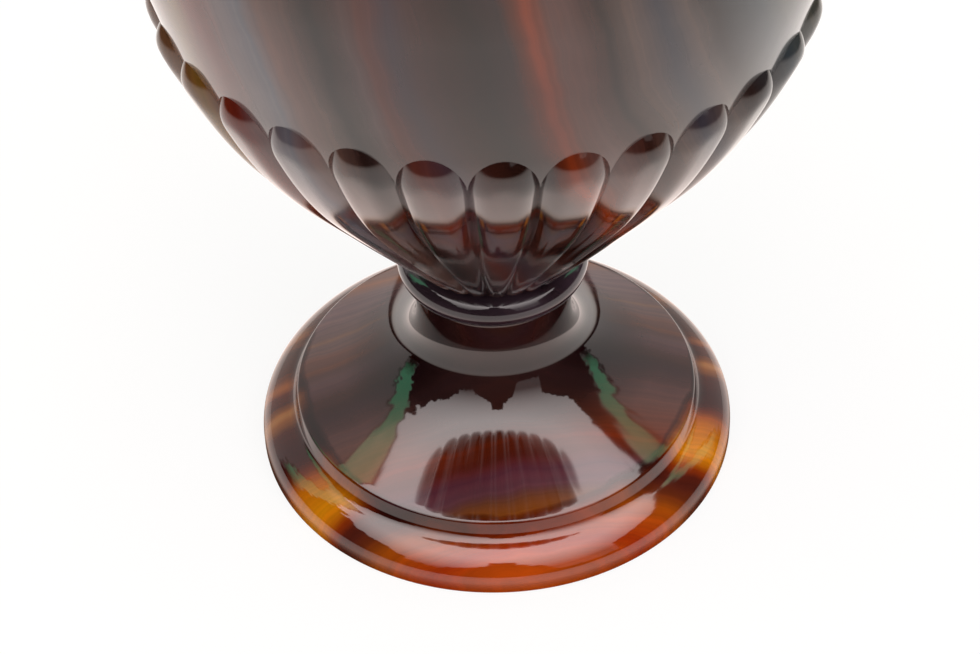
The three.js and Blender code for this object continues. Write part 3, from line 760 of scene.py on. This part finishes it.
def raise_boss(points, centre, normal, radius, rows):
    """Slide points along the normal onto the boss's plane: fully in its radius, fading beyond."""
    moved = points[rows] - centre
    along = moved @ normal
    aside = np.linalg.norm(moved - along[..., None] * normal, axis=-1)
    share = 1 - smooth((aside - radius + BOSS_BLEND / 2) / BOSS_BLEND)
    share = np.where(along > -SHOULDER_WALL, share, 0)
    points[rows] += ((BOSS_RISE - along) * share)[..., None] * normal


def body_rings():
    """Rings from the sleeve hole's ceiling, out over the body, and down to the cavity's floor."""
    across, angle = lobe_columns()
    outside = outer_rings(across)
    sleeve_top = tenon_floor + 2 * CLEARANCE + SLEEVE_LENGTH
    tenon_low = tenon_floor + CLEARANCE
    below = [(0, sleeve_top), (SLEEVE_HOLE_RADIUS, sleeve_top), (SLEEVE_HOLE_RADIUS, tenon_low)]
    below += [(TENON_RADIUS, tenon_low), (TENON_RADIUS, body_seat)]
    inside = np.vstack([[(RING_BORE, body_top)], cavity_high[::-1], cavity_low[::-1][1:]])
    columns = len(across)
    rings = np.concatenate([spread(below, columns), outside, spread(inside, columns)])
    radii, heights = rings[..., 0], rings[..., 1]
    points = np.stack([radii * np.sin(angle), -radii * np.cos(angle), heights], axis=2)
    rows = slice(len(below), len(below) + len(outside))
    raise_boss(points, handle_foot, shoulder_normal, LOW_BOSS_RADIUS, rows)
    return points


body = piece_from_rings("body_stone", body_rings(), closed=False)

# %% [markdown]
# ## The neck
#
# The neck is a flaring tube on a tenon. Its mouth is drawn out into a pouring lip towards -X:
# points on that side move out, up and a little in towards the middle, more the nearer they are
# to the mouth. The rim is a half circle between the outside and the inside.

# %% Neck
NECK_SEAT_RADIUS = 17.2
NECK_HEIGHT = 55.5
NECK_WAIST_RADIUS = 14.8
NECK_WAIST_HEIGHT = 18.0
NECK_SEAT_PULL = 9.0
NECK_WAIST_PULL = 7.0
NECK_FLARE_PULL = 16.0
MOUTH_RADIUS = 22.5
MOUTH_PULL = 14.0
MOUTH_SLOPE = math.radians(65)
NECK_WALL = 3.5
NECK_BORE_RADIUS = 10.2
NECK_TENON_RADIUS = 13.2
LIP_REACH = 16.0
LIP_RISE = 9.5
LIP_PINCH = 0.2
LIP_START = 22.0
LIP_SHARPNESS = 2.4
HANDLE_TOP_BELOW_MOUTH = 12.8
TOP_BOSS_RADIUS = 6.6
NECK_SIDES = 240
SEAT_STEPS, FLARE_STEPS, MOUTH_STEPS = 26, 44, 14
TENON_POINTS = 3

neck_seat = ring_high[2] + BED
neck_waist = neck_seat + NECK_WAIST_HEIGHT
mouth = neck_seat + NECK_HEIGHT
neck_line = np.vstack(
    [
        bezier(
            (NECK_SEAT_RADIUS, neck_seat),
            (NECK_WAIST_RADIUS, neck_seat + NECK_SEAT_PULL),
            (NECK_WAIST_RADIUS, neck_waist - NECK_WAIST_PULL),
            (NECK_WAIST_RADIUS, neck_waist),
            SEAT_STEPS,
        ),
        bezier(
            (NECK_WAIST_RADIUS, neck_waist),
            (NECK_WAIST_RADIUS, neck_waist + NECK_FLARE_PULL),
            (
                MOUTH_RADIUS - MOUTH_PULL * math.cos(MOUTH_SLOPE),
                mouth - MOUTH_PULL * math.sin(MOUTH_SLOPE),
            ),
            (MOUTH_RADIUS, mouth),
            FLARE_STEPS,
        )[1:],
    ]
)
print("mouth in mm:", np.round(mouth, 1))

# %% Neck with its lip
def neck_profile():
    """The closed outline: tenon, outside, half-round rim, and a bore that opens as the outside."""
    opening = (MOUTH_RADIUS - NECK_WALL - NECK_BORE_RADIUS) / (MOUTH_RADIUS - NECK_WAIST_RADIUS)
    flare = neck_line[neck_line[:, 1] >= neck_waist][::-1]
    inside = np.stack(
        [NECK_BORE_RADIUS + (flare[:, 0] - NECK_WAIST_RADIUS) * opening, flare[:, 1]], axis=1
    )
    round_angle = np.linspace(0, math.pi, MOUTH_STEPS)[1:-1]
    rim = np.stack(
        [
            MOUTH_RADIUS - NECK_WALL / 2 + NECK_WALL / 2 * np.cos(round_angle),
            mouth + NECK_WALL / 3 * np.sin(round_angle),
        ],
        axis=1,
    )
    tenon = [(NECK_BORE_RADIUS, neck_low[2]), (NECK_TENON_RADIUS, neck_low[2])]
    return np.vstack([tenon, [(NECK_TENON_RADIUS, neck_seat)], neck_line, rim, inside])


def draw_lip(points):
    """Move points out and up by how much they face -X, times their share of the way up."""
    x, y, z = points[..., 0].copy(), points[..., 1].copy(), points[..., 2].copy()
    share = smooth((z - neck_seat - LIP_START) / (NECK_HEIGHT - LIP_START)) ** 2
    facing = np.maximum(0, -x / np.hypot(x, y))
    drawn = facing**LIP_SHARPNESS * share
    points[..., 0] = x - LIP_REACH * drawn
    points[..., 1] = y * (1 - LIP_PINCH * share * facing)
    points[..., 2] = z + LIP_RISE * drawn


handle_top_height = mouth - HANDLE_TOP_BELOW_MOUTH
boss_top = handle_top_height + TOP_BOSS_RADIUS
handle_top_radius = np.interp(boss_top, neck_line[:, 1], neck_line[:, 0])
handle_top = np.array([handle_top_radius, 0, handle_top_height])
outward = np.array([1.0, 0, 0])
neck_rings = turn(neck_profile(), NECK_SIDES)
draw_lip(neck_rings)
neck_outside = slice(TENON_POINTS, TENON_POINTS + len(neck_line))
raise_boss(neck_rings, handle_top, outward, TOP_BOSS_RADIUS, neck_outside)
neck = piece_from_rings("neck_stone", neck_rings, closed=True)

# %% [markdown]
# ## The handle
#
# The handle springs from the neck, rises over a crest and comes down to the shoulder. It is an
# oval section carried along three smooth curves, and it swells towards both ends, where the
# dowels enter it. The path is resampled to even steps, and the section turns with its tangent.

# %% Handle
HANDLE_CREST_OUT = 16.0
HANDLE_BACK_INSET = 3.1
HANDLE_BACK_BELOW_TOP = 8.0
HANDLE_HALF_WIDTH = 6.3
HANDLE_HALF_THICKNESS = 5.0
HANDLE_END_SWELL = 1.3
HANDLE_SWELL_POWER = 6
PULL_OUT, PULL_RISE, PULL_OVER = 0.8, 0.55, 0.65
PULL_DROP, PULL_DOWN, PULL_LANDING = 0.55, 0.4, 0.32
CURVE_STEPS = 300
CREST_CLEARANCE = 0.02
END_FLAT = 0.96
PIN_BED = 0.5
PIN_HOLE_RADIUS = 1.5
PIN_IN_HANDLE = 5.3
HANDLE_STEPS = 220
HANDLE_SIDES = 64

stand_off = BOSS_RISE + PIN_BED + 2 * CLEARANCE
line_start = handle_top + outward * stand_off
line_end = handle_foot + shoulder_normal * stand_off
crest_height = size_of("handle")[1][2] - HANDLE_HALF_THICKNESS - CREST_CLEARANCE
crest = np.array([MOUTH_RADIUS + HANDLE_CREST_OUT, 0, crest_height])
back = np.array([belly_radius - HANDLE_BACK_INSET, 0, handle_top_height - HANDLE_BACK_BELOW_TOP])


def handle_path():
    """Three cubic curves, start to crest to back to shoulder, resampled to even steps."""
    rise, over = (crest - line_start) * outward, (back - crest) * outward
    drop = np.array([0, 0, crest[2] - back[2]])
    down = np.array([0, 0, back[2] - line_end[2]])
    landing = shoulder_normal * down[2]
    legs = [
        (line_start, line_start + rise * PULL_OUT, crest - rise * PULL_RISE, crest),
        (crest, crest + over * PULL_OVER, back + drop * PULL_DROP, back),
        (back, back - down * PULL_DOWN, line_end + landing * PULL_LANDING, line_end),
    ]
    curves = [bezier(*leg, CURVE_STEPS) for leg in legs]
    path = np.vstack([curves[0], curves[1][1:], curves[2][1:]])
    length = np.concatenate([[0], np.cumsum(np.linalg.norm(np.diff(path, axis=0), axis=1))])
    even = np.linspace(0, length[-1], HANDLE_STEPS + 1)
    return np.stack([np.interp(even, length, path[:, i]) for i in range(3)], axis=1), length[-1]


path, path_length = handle_path()
print("handle length in mm:", round(path_length, 1))

# %% Handle with its dowel holes
def handle_rings():
    """Oval rings along the path, swelling by a power of the distance from its middle."""
    tangent = np.gradient(path, axis=0)
    tangent[0], tangent[-1] = outward, -shoulder_normal
    tangent /= np.linalg.norm(tangent, axis=1, keepdims=True)
    across = np.array([0, 1.0, 0])
    inward = np.stack([-tangent[:, 2], np.zeros(len(path)), tangent[:, 0]], axis=1)
    place = np.linspace(0, 1, HANDLE_STEPS + 1)
    swell = 1 + (HANDLE_END_SWELL - 1) * (2 * place - 1) ** HANDLE_SWELL_POWER
    angle = np.arange(HANDLE_SIDES) * 2 * math.pi / HANDLE_SIDES
    wide = np.cos(angle)[:, None] * across * HANDLE_HALF_WIDTH
    thick = np.sin(angle)[None, :, None] * inward[:, None, :] * HANDLE_HALF_THICKNESS
    oval = wide[None, :, :] + thick
    rings = path[:, None, :] + oval * swell[:, None, None]
    ends = []
    for row, sign in ((0, 1), (-1, -1)):
        hole = oval[row] / np.linalg.norm(oval[row], axis=1, keepdims=True) * PIN_HOLE_RADIUS
        depth = tangent[row] * PIN_IN_HANDLE * sign
        centre = path[row]
        rim = centre + oval[row] * swell[row] * END_FLAT
        bottom = np.repeat((centre + depth)[None], HANDLE_SIDES, 0)
        ends.append([bottom, centre + depth + hole, centre + hole, rim])
    rings[0] = path[0] + oval[0] * swell[0] + tangent[0] * EDGE_ROUND / 2
    rings[-1] = path[-1] + oval[-1] * swell[-1] - tangent[-1] * EDGE_ROUND / 2
    return np.concatenate([np.array(ends[0]), rings, np.array(ends[1])[::-1]])


handle = piece_from_rings("handle_stone", handle_rings(), closed=False)

# %% [markdown]
# ## Agate
#
# Agate grows as thin layers in a hollow of the rock, and each layer takes its own stain of iron.
# A cut through it shows the layers as bands that run straight on where the stone is deep.
# So its colour is a ramp over one coordinate, measured in millimetres across the layers.
# Slow noise lets the layers wander, quick noise frays them, a fine one-way noise adds the hair
# lines inside each band, and a wide cloud makes the stone denser here and thinner there.

# %% Helpers for stone
AGATE_IOR = 1.54
NOISE_SPAN = (0.3, 0.7)
WANDER_SIZE, FRAY_SIZE = 55.0, 9.0
CLOUD_SIZE, SPECK_SPACING, WAVE_SIZE = 24, 11, 16
HAIR_LINES_PER_MM = 0.75
SPECK_RADIUS = (0.014, 0.03)
SPECK_SHADE = 0.45
HAIR_TINTS = [(0.3, (0.62, 0.66, 0.74, 1)), (0.5, grey(1.0)), (0.7, (1.5, 1.32, 1.14, 1))]
CLOUD_TINTS = [(0.3, grey(0.5)), (0.5, grey(1.0)), (0.7, grey(1.6))]


def stirred(tree, place, wander, fray):
    """A place moved by slow and by quick noise, in millimetres, so that layers wander and fray."""
    for size, shift in ((WANDER_SIZE, wander), (FRAY_SIZE, fray)):
        pattern = {"Vector": place, "Scale": 1 / size, "Detail": 2.0}
        noise = add(tree, "TexNoise", pattern, "Color", normalize=False)
        move = add(tree, "VectorMath", {0: noise, "Scale": shift}, operation="SCALE")
        place = add(tree, "VectorMath", {0: place, 1: move}, operation="ADD")
    return place


def layers(tree, place, across, bands):
    """Colour by millimetres along the direction across the layers, and that distance itself."""
    depth = add(tree, "VectorMath", {0: place, 1: across}, "Value", operation="DOT_PRODUCT")
    return colour_by(tree, depth, bands), depth


def surface(tree, colour, noise, gloss, height, strength, depth, **more):
    """The last nodes: roughness from low to high noise, a bump of a depth in mm, the shader."""
    span = dict(zip(("From Min", "From Max", "To Min", "To Max"), (*NOISE_SPAN, *gloss)))
    bump = {"Height": height, "Strength": strength, "Distance": depth * MM}
    finish = {"Roughness": add(tree, "MapRange", {"Value": noise, **span})}
    finish |= {"Base Color": colour, "Normal": add(tree, "Bump", bump), **more}
    add(tree, "OutputMaterial", {"Surface": add(tree, "BsdfPrincipled", finish)}, None)


def polished(tree, place, colour, depth, hair=0.28, cloud=0.3, gloss=(0.05, 0.11), wave=0.02):
    """Finish a stone: hair lines along its layers, clouds, dark specks, a polished skin."""
    fine = {"W": depth, "Scale": HAIR_LINES_PER_MM, "Detail": 4.0, "Roughness": 0.62}
    lines = add(tree, "TexNoise", fine, noise_dimensions="1D")
    tint = colour_by(tree, lines, HAIR_TINTS)
    colour = add(tree, "Mix", {0: hair, 6: colour, 7: tint}, 2, **SHADED)
    wide = {"Vector": place, "Scale": 1 / CLOUD_SIZE, "Detail": 5.0, "Roughness": 0.55}
    clouds = add(tree, "TexNoise", wide)
    shade = colour_by(tree, clouds, CLOUD_TINTS)
    colour = add(tree, "Mix", {0: cloud, 6: colour, 7: shade}, 2, **SHADED)
    cells = add(tree, "TexVoronoi", {"Vector": place, "Scale": 1 / SPECK_SPACING})
    edge = {"From Min": SPECK_RADIUS[0], "From Max": SPECK_RADIUS[1], "To Min": SPECK_SHADE}
    speck = add(tree, "MapRange", {"Value": cells, **edge})
    colour = add(tree, "Mix", {0: 1.0, 6: colour, 7: speck}, 2, **SHADED)
    pattern = {"Vector": place, "Scale": 1 / WAVE_SIZE, "Detail": 1.0}
    waves = add(tree, "TexNoise", pattern, normalize=False)
    surface(tree, colour, clouds, gloss, waves, 1.0, wave, IOR=AGATE_IOR)


def banded_stone(name, across, bands, wander, fray, **finish):
    """A stone that one ramp describes: stir the place, look its layer up, and polish it."""
    material, tree, point = new_material(name)
    place = stirred(tree, point, wander, fray)
    colour, depth = layers(tree, place, across, bands)
    polished(tree, place, colour, depth, **finish)
    return material


print("refraction of agate:", AGATE_IOR)

# %% [markdown]
# ### The body's stone
#
# The layers stand upright in the body and lean a little towards the lip, grey between streaks of
# tan, red and brown. A second, calmer ramp takes over in patches, so no streak runs on unchanged.
# Distances across the layers are counted from the axis, 122 mm above the table.

# %% Body material
BODY_LAYERS = (1.0, 0.0, 0.25)
BODY_BANDS_HEIGHT = 122.0
BODY_BANDS = [
    (-60, "#5a3a2c"), (-49.4, "#623a28"), (-46.8, "#6a4a1a"), (-43.6, "#5c1a0e"), (-40, "#50160c"),
    (-36.6, "#544648"), (-32.4, "#4c4a52"), (-29.4, "#5a3c34"), (-24.8, "#46342f"),
    (-21.4, "#1a0c0a"), (-18.8, "#302422"), (-16.4, "#423232"), (-13.8, "#4a2018"),
    (-10, "#30222a"), (-7, "#3a1c16"), (-3.4, "#2a120c"), (0.6, "#1a0b08"), (4.8, "#261818"),
    (6.8, "#4a1e0e"), (8.4, "#702c12"), (9.8, "#5c2816"), (11.6, "#4c3430"), (14.4, "#4c3430"),
    (16.8, "#3c2420"), (19.2, "#22110d"), (23.6, "#4c3a34"), (28.3, "#2a2830"), (32.4, "#483a36"),
    (36.2, "#221614"), (42.3, "#2e3438"), (46.3, "#3c3e38"), (60, "#44423a"),
]
BODY_CALM = [
    (-60, "#4c3228"), (-47, "#5a4018"), (-41, "#4e180c"), (-33, "#464448"), (-27, "#4c2f2a"),
    (-21, "#1c0e0c"), (-14, "#42201a"), (-9, "#2c2026"), (-3, "#260e08"), (2, "#1c0b08"),
    (8.6, "#5a1e0c"), (12, "#4e261c"), (19.2, "#2a120c"), (24, "#443430"),
    (28.3, "#2a2830"), (36.2, "#221614"), (42.3, "#2e3438"), (60, "#443330"),
]
PATCH_STRETCH = (0.07, 0.02, 0.018)
CALM_SPAN = {"From Min": 0.38, "From Max": 0.68, "To Max": 0.75}

body_stone, tree, point = new_material("agate_ground_and_polished_grey")
place = stirred(tree, point, wander=3.0, fray=0.7)
down = {0: place, 1: (0.0, 0.0, -BODY_BANDS_HEIGHT)}
centred = add(tree, "VectorMath", down, operation="ADD")
strong, depth = layers(tree, centred, BODY_LAYERS, BODY_BANDS)
calm, _ = layers(tree, centred, BODY_LAYERS, BODY_CALM)
stretched = add(tree, "VectorMath", {0: place, 1: PATCH_STRETCH}, operation="MULTIPLY")
patches = add(tree, "TexNoise", {"Vector": stretched, "Scale": 1.0, "Detail": 3.0})
calm_share = add(tree, "MapRange", {"Value": patches, **CALM_SPAN})
colour = add(tree, "Mix", {0: calm_share, 6: strong, 7: calm}, 2, **RGBA)
polished(tree, place, colour, depth)
print("body bands:", len(BODY_BANDS), "and", len(BODY_CALM))

# %% [markdown]
# ### The foot's stone
#
# The foot is cut from a warmer piece. Its layers lie across the view: grey-brown behind, a few
# thin orange lines at the middle, and amber and red-orange in front. On the thin rim they are
# brightened by a painted glow that stands for light through the stone.
# Towards the stem a painted shade darkens the stone, standing for the thicker stone letting less
# light back out, and a thin painted shade line darkens the inner corner of the step. Both are
# painted shades by the distance from the axis, in millimetres.

# %% Foot material
FOOT_LAYERS = (-0.14, 1.0, 0.0)
DOME_BANDS = [
    (-46, "#8a4212"), (-37, "#703a13"), (-35, "#59311d"), (-33, "#4e2c34"), (-30, "#4a222c"),
    (-27.6, "#4c180f"), (-25, "#5f200a"), (-22, "#5a2a1a"), (-17, "#50302a"), (-13.4, "#482c2a"),
    (-11, "#3a1f1d"), (-8, "#2d1416"), (-6, "#2a0f0c"), (-3.4, "#351812"), (-1, "#45292a"),
    (1.4, "#4a3132"), (3.8, "#462a26"), (4.8, "#5a3222"), (6, "#4c2f29"), (8, "#5e3a30"),
    (9.6, "#583f3c"), (12, "#5c4442"), (13, "#6a4a3c"), (14, "#5a4240"), (21, "#60474a"),
    (25, "#654a4a"), (28.6, "#814f38"), (31, "#6e4a42"), (46, "#70504a"),
]
# The rim's own bands, brightened by a painted glow of light through the thin stone.
RIM_BANDS_AND_PAINTED_GLOW = [
    (-46, "#993d06"), (-43, "#953808"), (-41, "#8e2a06"), (-38, "#933c08"), (-35.4, "#883e06"),
    (-34, "#72330a"), (-32.6, "#55220c"), (-31, "#42180f"), (-29, "#45160c"), (-27.6, "#782a06"),
    (-25.8, "#a85f08"), (-23.6, "#bb7408"), (-20.6, "#b36708"), (-18.4, "#a25808"),
    (-16.6, "#86400c"), (-14.6, "#561e0a"), (-12.6, "#340f0c"), (-9, "#301010"), (-4.4, "#3e150c"),
    (-1.6, "#7a451a"), (-0.4, "#96602e"), (1, "#6b3911"), (2.8, "#42180c"), (5.6, "#4e1c0c"),
    (7.4, "#8a4a1a"), (9, "#5a2c12"), (11, "#461f10"), (17, "#452820"), (19.6, "#663a20"),
    (21.6, "#80502c"), (24, "#5e4038"), (46, "#5c3430"),
]
# Painted shade: the stone darkens towards the stem, and a thin painted shade line sits in the
# step's inner corner.
THICK_STONE_PAINTED_SHADE = [(14, "#98949c"), (21, "#8c8890"), (26, "#cfcaca"), (30, "#ffffff")]
STEP_CORNER_PAINTED_SHADE = [
    (step_radius - 1, "#ffffff"), (step_radius - 0.5, "#c0a8a4"), (step_radius + 0.2, "#8a6e6a"),
    (step_radius + 0.8, "#a08480"), (step_radius + 3, "#ffffff"),
]
RIM_FROM, RIM_FULL = step_radius - 0.3, step_radius + 0.5

foot_stone, tree, point = new_material("agate_turned_and_polished_amber")
place = stirred(tree, point, wander=2.4, fray=0.8)
colour, depth = layers(tree, place, FOOT_LAYERS, DOME_BANDS)
rim_colour_and_painted_glow, _ = layers(tree, place, FOOT_LAYERS, RIM_BANDS_AND_PAINTED_GLOW)
level = add(tree, "VectorMath", {0: place, 1: (1.0, 1.0, 0.0)}, operation="MULTIPLY")
radius = add(tree, "VectorMath", {0: level}, "Value", operation="LENGTH")
thick, step = (colour_by(tree, radius, tones) for tones in (THICK_STONE_PAINTED_SHADE, STEP_CORNER_PAINTED_SHADE))
on_rim = add(tree, "MapRange", {"Value": radius, "From Min": RIM_FROM, "From Max": RIM_FULL})
# Painted shade multiplied in: darker towards the stem, then the dark line in the step's corner.
colour = add(tree, "Mix", {0: 1.0, 6: colour, 7: thick}, 2, **SHADED)
colour = add(tree, "Mix", {0: on_rim, 6: colour, 7: rim_colour_and_painted_glow}, 2, **RGBA)
colour = add(tree, "Mix", {0: 1.0, 6: colour, 7: step}, 2, **SHADED)
polished(tree, place, colour, depth, hair=0.35, cloud=0.35, gloss=(0.03, 0.07), wave=0.014)
print("foot bands:", len(DOME_BANDS), "and", len(RIM_BANDS_AND_PAINTED_GLOW))

# %% [markdown]
# ### The bead's, the neck's and the handle's stones
#
# The bead and the neck ring are violet-grey and nearly plain. The neck goes on from the body,
# and the handle is warmer, with its layers across its loop. Each has its own ramp.

# %% Bead, neck and handle materials
BEAD_LAYERS, NECK_LAYERS, HANDLE_LAYERS = (0.5, 0.8, 0.3), (1.0, 0.1, 0.0), (0.93, 0.05, 0.12)
BEAD_BANDS = [
    (-25, "#2e242a"), (-14, "#281c24"), (-8, "#362a32"), (-3, "#241a20"), (4, "#342830"),
    (9, "#261a20"), (15, "#3a2c36"), (25, "#2a1e26"),
]
NECK_BANDS = [
    (-42, "#5d5452"), (-30, "#7a6256"), (-24, "#655c5a"), (-18, "#4a4548"), (-13, "#7d4c3a"),
    (-10, "#6d6562"), (-4, "#3b2c28"), (1, "#4a3f3e"), (5, "#5a595e"), (8, "#8e4a2c"),
    (11, "#6b6461"), (15, "#856248"), (19, "#493c38"), (26, "#6c6461"),
]
HANDLE_BANDS = [
    (40, "#8a5230"), (46, "#b06a2c"), (49, "#5a3022"), (53, "#7a4a32"), (58, "#c27c34"),
    (61, "#4c2a20"), (66, "#6e4634"), (71, "#a8602c"), (75, "#54352b"), (80, "#8a5634"),
    (87, "#6a4636"),
]

bead_stone = banded_stone(
    "agate_turned_and_polished_violet",
    BEAD_LAYERS, BEAD_BANDS, wander=4.0, fray=0.8, gloss=(0.03, 0.06),
)
neck_stone = banded_stone(
    "agate_turned_and_polished_grey", NECK_LAYERS, NECK_BANDS, wander=3.0, fray=0.7
)
handle_stone = banded_stone(
    "agate_carved_and_polished_brown", HANDLE_LAYERS, HANDLE_BANDS, wander=5.0, fray=0.8
)
print("stones:", [m.name for m in bpy.data.materials if m.name.startswith("agate")])

# %% [markdown]
# ## Cement, brass and leather
#
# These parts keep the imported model's solids. The cement is lime and stone dust, matt and grainy.
# The brass was turned from bar, so fine rings run round it, and it has browned with age.
# The washer is a disc of hide, with pores and a soft, uneven dye.

# %% Cement material
GRAINS_PER_MM, STAINS_PER_MM = 3.5, 0.15
SAND = [(0.3, "#a89c84"), (0.5, "#c9bda3"), (0.72, "#e0d8c4")]
CEMENT_AGE = [(0.35, "#d0bfa8"), (0.65, "#ffffff")]

cement, tree, point = new_material("lime_cement_smoothed_by_hand")
grain = {"Vector": point, "Scale": GRAINS_PER_MM, "Detail": 6.0, "Roughness": 0.7}
grain = add(tree, "TexNoise", grain)
sand = colour_by(tree, grain, SAND)
patch = add(tree, "TexNoise", {"Vector": point, "Scale": STAINS_PER_MM, "Detail": 3.0})
age = colour_by(tree, patch, CEMENT_AGE)
colour = add(tree, "Mix", {0: 0.8, 6: sand, 7: age}, 2, **SHADED)
surface(tree, colour, grain, (0.75, 0.95), grain, 0.6, 0.1)
print("cement:", cement.name)

# %% Brass material
TOOL_MARKS_PER_MM, TARNISH_PER_MM = 5.0, 0.35
BRASS_TONES = [(0.35, "#c9a255"), (0.55, "#b08a45"), (0.72, "#6e5028")]

brass, tree, point = new_material("brass_turned_from_bar_and_browned")
height = add(tree, "SeparateXYZ", {0: point}, 2)
tool_marks = {"W": height, "Scale": TOOL_MARKS_PER_MM, "Detail": 4.0, "Roughness": 0.7}
rings = add(tree, "TexNoise", tool_marks, noise_dimensions="1D")
tarnish = {"Vector": point, "Scale": TARNISH_PER_MM, "Detail": 6.0, "Roughness": 0.65}
tarnish = add(tree, "TexNoise", tarnish)
colour = colour_by(tree, tarnish, BRASS_TONES)
surface(tree, colour, tarnish, (0.22, 0.5), rings, 0.5, 0.04, Metallic=1.0)
print("brass:", brass.name)

# %% Leather material
PORES_PER_MM, FIBRES_PER_MM = 1.6, 0.8
PORE_WIDTH, PORE_SHADE = 0.12, 0.55
HIDE_TONES = [(0.3, "#563820"), (0.5, "#7a5233"), (0.7, "#966b45")]

leather, tree, point = new_material("hide_cut_and_dyed")
pores = {"Vector": point, "Scale": PORES_PER_MM}
pores = add(tree, "TexVoronoi", pores, "Distance", feature="DISTANCE_TO_EDGE")
fibre = {"Vector": point, "Scale": FIBRES_PER_MM, "Detail": 6.0, "Roughness": 0.6}
fibre = add(tree, "TexNoise", fibre)
dye = colour_by(tree, fibre, HIDE_TONES)
crease = {"Value": pores, "From Max": PORE_WIDTH, "To Min": PORE_SHADE}
crease = add(tree, "MapRange", crease)
colour = add(tree, "Mix", {0: 1.0, 6: dye, 7: crease}, 2, **SHADED)
surface(tree, colour, fibre, (0.55, 0.8), pores, 0.7, 0.15)
print("leather:", leather.name)

# %% [markdown]
# ## Put the pieces on the model
#
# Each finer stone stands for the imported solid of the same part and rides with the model's one
# body, because nothing on a ewer moves. The other nodes only change their material.

# %% Pieces, nodes and slots
STONES = [
    (foot, "foot", "foot_agate", foot_stone),
    (bead, "stem_bead", "bead_agate", bead_stone),
    (body, "body", "body_agate", body_stone),
    (ring, "neck_ring", "bead_agate", bead_stone),
    (neck, "neck", "neck_agate", neck_stone),
    (handle, "handle", "handle_agate", handle_stone),
]
for piece, node, slot, material in STONES:
    piece.data.materials.append(material)
    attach(piece, "root")
    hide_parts(node)

NODE_MATERIALS = {
    cement: [name for name in frame["nodes"] if name.endswith("_cement")],
    brass: ["handle_top_pin", "handle_low_pin", "stem_rod", "rod_sleeve", "stem_nut"],
    leather: ["stem_washer"],
}
for material, names in NODE_MATERIALS.items():
    for name in names:
        frame["nodes"][name].material_slots[0].material = material
print("stones:", len(STONES), "nodes kept:", sum(len(n) for n in NODE_MATERIALS.values()))
